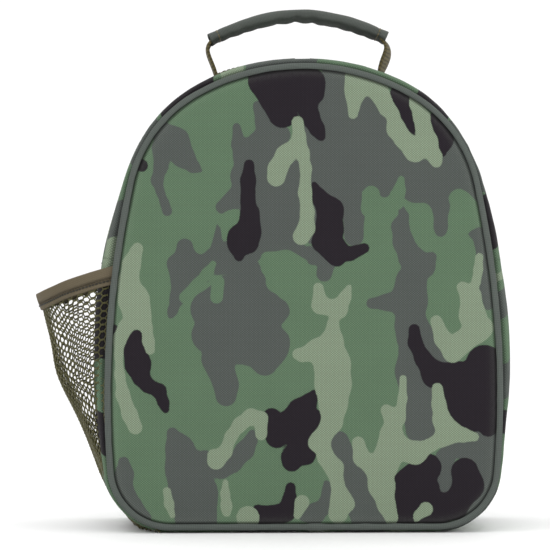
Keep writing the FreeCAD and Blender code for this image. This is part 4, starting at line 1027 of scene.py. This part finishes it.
def make_lining_panels():
    """Foam and film of the front and the back."""
    foam_points, foam_faces = panel_points(PANEL_FOAM_INSET, (0, 1.5), 4.0)
    film_points, film_faces = panel_points(PANEL_FILM_INSET, (0, 0.6, 1.6, 3.4), 2.6)
    flat = upright(film_points, LINER_Y)
    slack = ease((arch_inside(film_points[:, 0], film_points[:, 1]) - PANEL_FILM_INSET) / 14)
    for side, name, nodes_foam, nodes_film in (
            (-1, "front", ("lower_front_board", "lid_front_board"), ("lower_front_liner", "lid_front_liner")),
            (1, "back", ("back_board",), ("back_liner",))):
        foam = plan_piece(name + "_foam", foam_points, side * BACK_FOAM_OUT, turned(foam_faces, side > 0))
        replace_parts(dress(thicken(foam, BACK_FOAM_OUT - BACK_FOAM_IN - 0.1), FOAM), *nodes_foam)
        crease = np.abs(bumps(flat, 13.0, 20.0 + side)) * 0.5 + np.abs(bumps(flat, 41.0, 24.0 + side)) * 1.1
        film = plan_piece(name + "_liner_film", film_points, side * (LINER_Y - crease * slack),
                          turned(film_faces, side < 0))
        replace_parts(dress(thicken(film, 0.5, offset=1.0), LINER), *nodes_film)
        for piece in (foam, film):
            if side < 0:
                cross_fold(piece)
            else:
                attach(piece, "bag")


make_lining_panels()
LOW_COARSE = np.linspace(-FOLD_S, FOLD_S, 150)
HIGH_COARSE = np.linspace(FOLD_S, ROUND - FOLD_S, 120)
LOW_FINE = np.linspace(-FOLD_S, FOLD_S, 240)
HIGH_FINE = np.linspace(FOLD_S, ROUND - FOLD_S, 170)
ACROSS_ALL = np.linspace(-BOARD_EDGE, BOARD_EDGE, 22)
ACROSS_REAR = np.linspace(REAR_EDGE + FOAM_SHORT, BOARD_EDGE, 12)
ACROSS_LID = np.linspace(-BOARD_EDGE, LID_EDGE - FOAM_SHORT, 5)
fold_gusset(make_board("base_foam", LOW_COARSE, ACROSS_ALL, "base_board"))
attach(make_board("rear_foam", HIGH_COARSE, ACROSS_REAR, "rear_gusset_board"), "bag")
fold_gusset(make_board("lid_foam", HIGH_COARSE, ACROSS_LID, "lid_gusset_board"))
fold_gusset(make_liner("base_liner_film", LOW_FINE, np.linspace(-LINER_EDGE, LINER_EDGE, 34), "base_liner", 31.0))
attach(make_liner("rear_liner_film", HIGH_FINE, np.linspace(REAR_EDGE + FILM_SHORT, LINER_EDGE, 20),
                   "rear_gusset_liner", 33.0), "bag")
fold_gusset(make_liner("lid_liner_film", HIGH_FINE, np.linspace(-LINER_EDGE, LID_EDGE - FILM_SHORT, 7),
                       "lid_gusset_liner", 35.0))
for piece in make_binding("back_binding", np.linspace(0, ROUND, 320, endpoint=False), BINDING_Y, "back_seam_binding",
                          closed=True):
    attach(piece, "bag")
for piece in make_binding("base_binding", LOW_FINE, -BINDING_Y, "base_seam_binding"):
    fold_gusset(piece)
for piece in make_binding("lid_binding", HIGH_FINE, -BINDING_Y, "lid_seam_binding"):
    fold_gusset(piece)


# ---------------------------------------------------------------------------------- zip

ZIP_S = arch_height(ZIP_END)
ZIP_ALONG = np.linspace(ZIP_S, ROUND - ZIP_S, 240)


def make_tape(name, y, node):
    """One side of the zip's tape, which lies just under the hem."""
    tape = slab(name, band(ZIP_ALONG, y, -1.6), band(ZIP_ALONG, y, -2.2), ZIP_ALONG, y)
    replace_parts(dress(tape, ZIP_TAPE), node)
    return tape


def make_coil(name, side, node, pitch=1.35):
    """One side of the zip's coil: a loop of monofilament for each tooth, which hooks between its neighbours."""
    reach = np.array([2.6, 1.5, 0.1, -0.22, 0.3, 1.4, 2.5])
    rise = np.array([-0.9, -0.5, -0.42, -0.75, -1.1, -1.25, -1.35])
    slip = np.array([-0.2, -0.12, -0.03, 0.0, 0.03, 0.14, 0.3])
    thick = np.array([0.24, 0.31, 0.36, 0.36, 0.34, 0.28, 0.22])
    shapes = []
    for s in np.arange(ZIP_S + 1.5 + (side > 0) * pitch / 2, ROUND - ZIP_S - 1.5, pitch):
        flat, _ = arch(s + slip, rise)
        shapes.append(tube(upright(flat, ZIP_Y + side * reach), thick))
    coil = join_shapes(name, shapes, NYLON)
    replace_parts(coil, node)
    return coil


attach(make_tape("rear_zip_tape_cloth", np.linspace(ZIP_Y + 0.6, ZIP_Y + 10, 7), "rear_zip_tape"), "bag")
fold_gusset(make_tape("lid_zip_tape_cloth", np.linspace(ZIP_Y - 10, ZIP_Y - 0.6, 7), "lid_zip_tape"))
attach(make_coil("rear_zip_coil", 1, "rear_zip_teeth"), "bag")
fold_gusset(make_coil("lid_zip_coil", -1, "lid_zip_teeth"))


# How far a tab and its stitches stand off the gusset's cloth, and how thick the tab is.
TAB_LIFT, TAB_THICK = 0.35, 0.9
TAB_LAP = 1.6


def make_end_tabs():
    """A folded scrap of cloth over each end of the zip, stitched across."""
    pieces = []
    for side, name in ((1, "right"), (-1, "left")):
        s = side * np.linspace(FOLD_S - 1.5, ZIP_S + 1.0, 16)
        y = np.linspace(LID_EDGE - TAB_LAP, REAR_EDGE + TAB_LAP, 16)
        grow = gusset_rise(*grid(s, y)) + TAB_LIFT
        outer, inner = band(s, y, grow), band(s, y, grow - TAB_THICK)
        tab = slab("zip_end_tab_" + name, outer, inner, s, y)
        fold_gusset(dress(tab, BINDING))
        across = np.linspace(y[1], y[-2], 16)
        place = np.full(16, side * (ZIP_S - 1.5))
        row = band(place[:1], across, gusset_rise(place[:1, None], across[None]) + TAB_LIFT)[0]
        fold_gusset(join_shapes("zip_end_tab_" + name + "_stitching",
                                stitch_row(row, upright(arch(place)[1]), 2.0, 0.6, 0.22),
                                GREEN_THREAD))
        pieces.append(tab)
    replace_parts(pieces[0], "zip_end_tabs")


make_end_tabs()


def stitches_over(s, y, lift, *sizes):
    """A row of stitches, lifted off the gusset's cloth, along places s and y."""
    path = np.stack([gusset_points(np.array([a]), np.array([b]), sink=-lift)[0, 0] for a, b in zip(s, y)])
    return stitch_row(path, upright(arch(s)[1]), *sizes)


def gusset_stitches(name, s, y):
    """A row of stitches on the face of the gusset, as a piece."""
    return join_shapes(name, stitches_over(*np.broadcast_arrays(s, y), 0.05), GREEN_THREAD)


# How far in from the edge a hem is stitched.
HEM = 1.7
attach(gusset_stitches("rear_hem_stitching", ZIP_ALONG, REAR_EDGE + HEM), "bag")
fold_gusset(gusset_stitches("lid_hem_stitching", ZIP_ALONG, LID_EDGE - HEM))
for side, name in ((1, "right"), (-1, "left")):
    cross = np.linspace(REAR_EDGE + 1, SEAM_Y - 2, 40)
    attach(gusset_stitches("cross_stitching_" + name, np.full(40, side * (FOLD_S - 2.2)), cross), "bag")


# ---------------------------------------------------------------------------------- handle

GRIP_MIDDLE = GRIP_HIGH[2] - 3.1
GRIP_HALF = 46.6
GRIP_FALL = 12.3
GRIP_SHIFT, GRIP_TILT = -1.0, 0.014
GRIP_SEAM = 4.6


def grip_arch(x):
    """Height of the middle of the grip over a place across the bag."""
    x = np.asarray(x, float)
    return GRIP_MIDDLE - GRIP_FALL * (np.abs(x - GRIP_SHIFT) / GRIP_HALF) ** 1.75 + GRIP_TILT * x


def make_grip():
    """The padded sleeve: a soft oblong section along the arch, puckered underneath and drawn in at its ends."""
    x = np.linspace(-GRIP_HALF, GRIP_HALF, 150) + GRIP_SHIFT
    around = np.arange(44) / 44 * 2 * math.pi
    slope = np.gradient(grip_arch(x), x)
    across = np.stack([-slope, np.zeros(len(x)), np.ones(len(x))], 1)
    across /= np.linalg.norm(across, axis=1, keepdims=True)
    centre = np.stack([x, np.full(len(x), HANDLE_Y), grip_arch(x)], 1)
    share = np.abs(x - GRIP_SHIFT) / GRIP_HALF
    half_tall = 2.9 + 0.3 * np.sin(np.clip(share, 0, 1) * math.pi) + 0.25 * ease((share - 0.92) / 0.08)
    half_wide = 11.6 + 0.4 * np.sin(share * math.pi) - 0.5 * ease((share - 0.92) / 0.08)
    cos, sin = np.cos(around), np.sin(around)
    square = (np.abs(cos) ** 3.2 + np.abs(sin) ** 3.2) ** (-1 / 3.2)
    wide = half_wide[:, None] * square * cos
    tall = half_tall[:, None] * square * sin
    points = centre[:, None] + wide[..., None] * np.array([0, 1, 0]) + tall[..., None] * across[:, None]
    outward = points - centre[:, None]
    outward /= np.linalg.norm(outward, axis=-1, keepdims=True)
    stretched = points * np.array([1.0, 0.45, 1.0])
    under = 0.45 + 0.55 * ease((0.35 - sin) / 0.9)[None]
    crinkle = bumps(stretched, 6.0, 4.0) * 0.42 * under + bumps(points, 19.0, 6.0) * 0.4
    lobes = 1.3 * (np.abs(np.sin((x + 2.5) * math.pi / 10)) - 0.65) * np.exp(-((x + 2.5) / 15) ** 4)
    lobes = lobes + 0.45 * (np.abs(np.sin((x + 1.0) * math.pi / 7.3)) - 0.65) * (1 - np.exp(-((x + 2.5) / 17) ** 4))
    crinkle = crinkle + 1.7 * lobes[:, None] * ease((-sin - 0.25) / 0.6)[None]
    seam_pull = np.exp(-((np.abs(x - GRIP_SHIFT) - GRIP_HALF + GRIP_SEAM) / 0.8) ** 2)[:, None] * 0.45
    points = points + outward * (crinkle - seam_pull)[..., None]
    v = np.append(around, 2 * math.pi) * 10.0
    grip = surface("grip_cloth_sleeve", points, x, v, around_v=True, flip=True)
    dress(thicken(grip, 0.9), GRIP)
    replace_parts(grip, "grip_sleeve")
    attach(grip, "handle")
    inside = np.abs(x - GRIP_SHIFT) < GRIP_HALF - 1.5
    shrunk = centre[:, None] + (points - centre[:, None]) * np.array([1.0, 0.86, 0.62])
    core = surface("grip_core", shrunk[inside], x[inside], np.append(around, 2 * math.pi) * 8.0, around_v=True,
                   flip=True)
    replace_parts(dress(core, FOAM), "grip_foam")
    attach(core, "handle")
    shapes = []
    for side in (-1, 1):
        row = int(np.argmin(np.abs(x - GRIP_SHIFT - side * (GRIP_HALF - GRIP_SEAM))))
        loop = np.vstack([points[row], points[row][:1]])
        out = np.vstack([outward[row], outward[row][:1]])
        shapes += stitch_row(loop, out, length=2.2, gap=0.6, thread=0.3)
    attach(join_shapes("grip_stitching", shapes, KHAKI_THREAD), "handle")
    return grip


grip = make_grip()


def smooth_path(points, count):
    """Points spaced evenly along a smooth line through given points, by cutting corners."""
    path = np.asarray(points, float)
    for _ in range(4):
        path = np.vstack([path[:1], *[np.array([0.75 * a + 0.25 * b, 0.25 * a + 0.75 * b])
                                      for a, b in zip(path, path[1:])], path[-1:]])
    run = run_along(path)
    at = np.linspace(0, run[-1], count)
    return np.stack([np.interp(at, run, path[:, k]) for k in range(path.shape[1])], 1), at


def ribbon_section(width, thickness):
    """A flat section with rounded selvages: across and up, and the distance around it."""
    half, r = width / 2, thickness / 2
    across = np.concatenate([np.linspace(-half + r, half - r, 15), half - r + r * np.cos(np.linspace(1.2, -1.2, 5)),
                             np.linspace(half - r, -half + r, 15),
                             -half + r + r * np.cos(np.linspace(math.pi + 1.2, math.pi - 1.2, 5)[::-1])])
    up = np.concatenate([np.full(15, r), r * np.sin(np.linspace(1.2, -1.2, 5)), np.full(15, -r),
                         r * np.sin(np.linspace(math.pi + 1.2, math.pi - 1.2, 5)[::-1])])
    edge = np.hypot(*np.diff(np.append(np.stack([across, up]), [[across[0]], [up[0]]], 1)))
    return across, up, np.concatenate([[0.0], np.cumsum(edge)])


def make_webbing(name, side, twist, slip):
    """One leg of the strap: out of the grip, over its bend and down to the gusset, a little twisted."""
    path, run = smooth_path([(36, float(grip_arch(36.0))), (42, float(grip_arch(42.0))), (47, 254.4),
                             (49.2, 251.5), (49, 247.6), (47.2, 243), (45.6, 239), (44.4, 235.4), (43, 231.5)], 64)
    path[:, 0] -= slip * ease((path[:, 0] - 40) / 6)
    across, up, edge = ribbon_section(STRAP_HIGH[1] - STRAP_LOW[1], 1.5)
    along = np.gradient(path, axis=0)
    along /= np.linalg.norm(along, axis=1, keepdims=True)
    turn = math.radians(twist) * np.sin(np.clip((run - 8) / (run[-1] - 8), 0, 1) * math.pi)
    normal = np.stack([-along[:, 1], np.zeros(len(run)), along[:, 0]], 1)
    wide = np.tile([0.0, 1.0, 0.0], (len(run), 1))
    cos, sin = np.cos(turn)[:, None], np.sin(turn)[:, None]
    wide, normal = wide * cos + normal * sin, normal * cos - wide * sin
    centre = upright(path, HANDLE_Y)
    curl = 0.4 * np.cos(across / 10.0 * 2.2)[None, :, None] * normal[:, None]
    points = centre[:, None] + across[None, :, None] * wide[:, None] + up[None, :, None] * normal[:, None] + curl
    points = points * np.array([side, 1, 1])
    piece = surface(name, points, run, edge, around_v=True, flip=side < 0)
    dress(piece, WEBBING)
    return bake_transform(piece)


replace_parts(make_webbing("webbing_left", -1, 0.0, 0.4), "handle_strap")
make_webbing("webbing_right", 1, 13.0, 2.4)


# The sewn ends of the webbing lie between these distances from the top of the outline.
SEWN_FROM, SEWN_TO = 28.0, 43.6
WEBBING_THICK = 1.5


def make_strap_end(name, side):
    """The sewn end of the webbing, flat on the gusset, with a stitched box and cross."""
    half = (STRAP_HIGH[1] - STRAP_LOW[1]) / 2
    s = ROUND / 2 - side * np.linspace(SEWN_FROM, SEWN_TO, 26)
    y = HANDLE_Y + np.linspace(-half, half, 32)
    points = gusset_points(s, y, sink=-WEBBING_THICK)
    piece = thicken(dress(surface(name, points, s, y, flip=side < 0), WEBBING), WEBBING_THICK)
    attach(piece, "bag")
    inner, outer, edge = SEWN_FROM + 2.2, SEWN_TO - 2.0, half - 2.4
    corners = [(inner, -edge), (outer, -edge), (outer, edge), (inner, edge), (inner, -edge), (outer, edge)]
    lines = [*zip(corners, corners[1:]), (corners[1], corners[3])]
    shapes = []
    for start, end in lines:
        line = np.linspace(start, end, 24)
        shapes += stitches_over(ROUND / 2 - side * line[:, 0], HANDLE_Y + line[:, 1], 1.65, 2.0, 0.5, 0.24)
    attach(join_shapes(name + "_stitching", shapes, DARK_THREAD), "bag")
    return piece


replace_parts(make_strap_end("strap_end_left_sewn", -1), "strap_end_left")
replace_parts(make_strap_end("strap_end_right_sewn", 1), "strap_end_right")


# ---------------------------------------------------------------------------------- side pocket

POCKET_HALF = span("mesh_pocket")[1][1]
# How far the net stands out at the middle of the pocket: (height, distance from the middle of the bag).
REACH = ((-10, 77), (0, 86), (20, 101), (50, 114), (80, 128), (110, 134), (140, 141))
# The pocket's mouth: where it leaves the bag, its height there, its slope, depth and bow, how far out it runs, and
# a height to start from.
SEAM_X, RIM_TOP = 97.0, 134.8
RIM_FALL = math.tan(math.radians(20))
RIM_DEPTH, RIM_BOW, RIM_SPAN, RIM_GUESS = 9.4, 1.3, 43.0, 125.0
# Half the length of the tape around the mouth, for its weave, and the rows of its section that are stitched.
RIM_HALF = 62.0
RIM_STITCHED = ((3, 1), (17, -1))


def pocket_point(share, z, out=0.0):
    """A point of the pocket at a share from -1, its front seam, to 1, its back seam, and at a height."""
    share, z = np.asarray(share, float), np.asarray(z, float)
    seam = half_width_at(np.maximum(z, BOTTOM + 0.6)) - 1.0
    heights, reaches = zip(*REACH)
    smooth = sum(np.interp(z + step, heights, reaches) for step in (-8, -4, 0, 4, 8)) / 5
    rise = smooth - seam
    radius = (POCKET_HALF ** 2 + rise ** 2) / (2 * rise)
    half_angle = np.arctan2(POCKET_HALF, radius - rise)
    angle = half_angle * share
    x = -(seam + rise - radius) - (radius + out) * np.cos(angle)
    return np.stack([x, (radius + out) * np.sin(angle), z], -1)


def rim_height(share, drop):
    """Height of the sloping mouth, drop below its upper edge. Its slope and the bulge are settled by turns."""
    z = np.full(np.shape(share), RIM_GUESS)
    for _ in range(12):
        x = pocket_point(share, z)[..., 0]
        along = np.clip((-x - SEAM_X) / RIM_SPAN, 0, 1)
        z = RIM_TOP + RIM_FALL * (x + SEAM_X) - drop + RIM_BOW * 4 * along * (1 - along)
    return z


# The net's holes around and up, and the radii of its doubled bars and slanting strands: end, middle, end.
NET_COLUMNS, NET_ROWS = 38, 33
BAR, STRAND = np.array([0.38, 0.54, 0.38]), np.array([0.36, 0.31, 0.36])


def make_net():
    """Knitted net of six-sided holes: short doubled bars above and below each hole, slanting strands between."""
    shapes = []

    def place(column, row):
        share = np.clip(-1 + 2 * column / NET_COLUMNS, -1, 1)
        top = rim_height(share, RIM_DEPTH - 1.0)
        z = 0.5 + (top - 0.5) * np.clip(row / NET_ROWS, 0, 1)
        slack = [noise.noise(p) for p in ((column * 0.3, row * 0.3, 1.7), (column * 0.27, row * 0.36, 8.1),
                                          (column * 0.16, row * 0.13, 4.4))]
        share = np.clip(share + slack[0] * 0.026 * (1 - share ** 2), -1, 1)
        return pocket_point(share, max(z + slack[1] * 1.3, 0.6), slack[2] * 1.8)

    for column in range(NET_COLUMNS + 1):
        for row in np.arange(column % 2 * 0.5, NET_ROWS + 0.1, 1.0):
            left, right = place(column - 0.3, row), place(column + 0.3, row)
            shapes.append(tube(np.stack([left, (left + right) / 2, right]), BAR))
            for step in (-0.5, 0.5):
                if column == NET_COLUMNS or not 0 <= row + step <= NET_ROWS:
                    continue
                end = place(column + 0.7, row + step)
                shapes.append(tube(np.stack([right, (right + end) / 2, end]), STRAND))
    net = join_shapes("pocket_net", shapes, NET)
    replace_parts(net, "mesh_pocket")
    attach(net, "bag")


def make_rim():
    """The mouth of the pocket: a tape folded over the net, its cut edge turned in, and a backstitch."""
    share = np.linspace(-1, 1, 120)
    profile = [(RIM_DEPTH, 0.75), (RIM_DEPTH - 0.35, 1.1), (RIM_DEPTH - 1.2, 1.2), (RIM_DEPTH - 2.3, 1.0),
               (RIM_DEPTH - 3.6, 1.25), (6.0, 1.3), (4.0, 1.3), (2.2, 1.25), (1.0, 1.1), (0.3, 0.8), (0.0, 0.2),
               (0.2, -0.5), (0.9, -1.0), (2.2, -1.25), (4.0, -1.3), (6.0, -1.3), (RIM_DEPTH - 3.6, -1.2),
               (RIM_DEPTH - 2.3, -0.95), (RIM_DEPTH - 1.0, -1.1), (RIM_DEPTH, -0.7)]
    rows = []
    for drop, out in profile:
        z = rim_height(share, drop)
        lean = 1.4 * np.cos(share * math.pi / 2) * (1 - drop / RIM_DEPTH)
        rows.append(pocket_point(share, z, out + lean))
    points = np.stack(rows, 1)
    place = points.copy()
    points[..., 0] -= bumps(place, 16.0, 12.0) * 0.5
    points[..., 2] += bumps(place, 22.0, 15.0) * 0.25
    u = share * RIM_HALF
    v = np.concatenate([[0.0], np.cumsum(np.hypot(*np.diff(np.array(profile), axis=0).T))])
    v = np.append(v, v[-1] + 1.5)
    rim = dress(surface("pocket_rim_tape", points, u, v, around_v=True, flip=True), RIM)
    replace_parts(rim, "pocket_rim")
    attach(rim, "bag")
    shapes = []
    for row, sign in RIM_STITCHED:
        line = points[:, row]
        out = pocket_point(share, line[:, 2], 1.0) - pocket_point(share, line[:, 2], 0.0)
        shapes += stitch_row(line, sign * out * 1.6, length=1.2, gap=0.75, thread=0.42)
    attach(join_shapes("pocket_rim_stitching", shapes, DARK_THREAD), "bag")


make_net()
make_rim()


# ---------------------------------------------------------------------------------- hard parts kept from the CAD

for node in ("slider_left", "slider_right", "pull_left", "pull_right"):
    kept = bpy.data.objects[node]
    kept.data.materials.clear()
    kept.data.materials.append(METAL)


# ---------------------------------------------------------------------------------- room, light and camera

def make_stage():
    floor_look = Look("floor", roughness=0.6, specular=0.2)
    fine = floor_look.noise(3.0, 2.0)
    tone = floor_look.mix(fine, (0.93, 0.93, 0.93, 1), (0.95, 0.95, 0.95, 1))
    floor_look.done(tone)
    angle = np.linspace(0, math.pi / 2, 12)
    sweep = [(-3000.0, 0.0), *[(1500 + 900 * math.sin(a), 900 - 900 * math.cos(a)) for a in angle], (2400.0, 4000.0)]
    points = np.array([[[x, y, z - 0.05] for y, z in sweep] for x in (-4000.0, 4000.0)])
    backdrop = surface("studio_sweep", points, [0, 1], np.arange(len(sweep)))
    backdrop.data.materials.append(floor_look.material)


def area_light(name, place, aim, size, power):
    data = bpy.data.lights.new(name, "AREA")
    data.shape = "RECTANGLE"
    data.size, data.size_y = size
    data.energy = power
    light = bpy.data.objects.new(name, data)
    light.location = place
    light.rotation_euler = (Vector(aim) - Vector(place)).to_track_quat("-Z", "Y").to_euler()
    bpy.context.scene.collection.objects.link(light)


# The camera's sensor and lens are in millimetres, and its place and aim in metres.
SENSOR_WIDTH, LENS = 36.0, 168.6
CAMERA_PLACE, CAMERA_AIM = (-0.050, -1.348, 0.120), (-0.0148, -0.048, 0.1303)


def make_camera():
    """A long lens in front, a little to the left and level with the middle of the bag."""
    data = bpy.data.cameras.new("camera")
    data.sensor_width = SENSOR_WIDTH
    data.lens = LENS
    camera = bpy.data.objects.new("camera", data)
    camera.location = CAMERA_PLACE
    camera.rotation_euler = (Vector(CAMERA_AIM) - camera.location).to_track_quat("-Z", "Y").to_euler()
    bpy.context.scene.collection.objects.link(camera)
    bpy.context.scene.camera = camera


make_stage()
world = bpy.data.worlds.new("studio")
world.use_nodes = True
world.node_tree.nodes["Background"].inputs["Color"].default_value = (1, 1, 1, 1)
world.node_tree.nodes["Background"].inputs["Strength"].default_value = 0.9
bpy.context.scene.world = world
area_light("key", (-0.9, -1.3, 1.5), (0, 0, 0.12), (2.2, 2.0), 14)
area_light("fill", (1.3, -1.2, 0.6), (0, 0, 0.12), (1.0, 1.0), 9)
area_light("top", (0.0, 0.3, 1.8), (0, 0, 0.1), (2.4, 1.6), 11)
make_camera()
bpy.context.scene.view_settings.view_transform = "Standard"
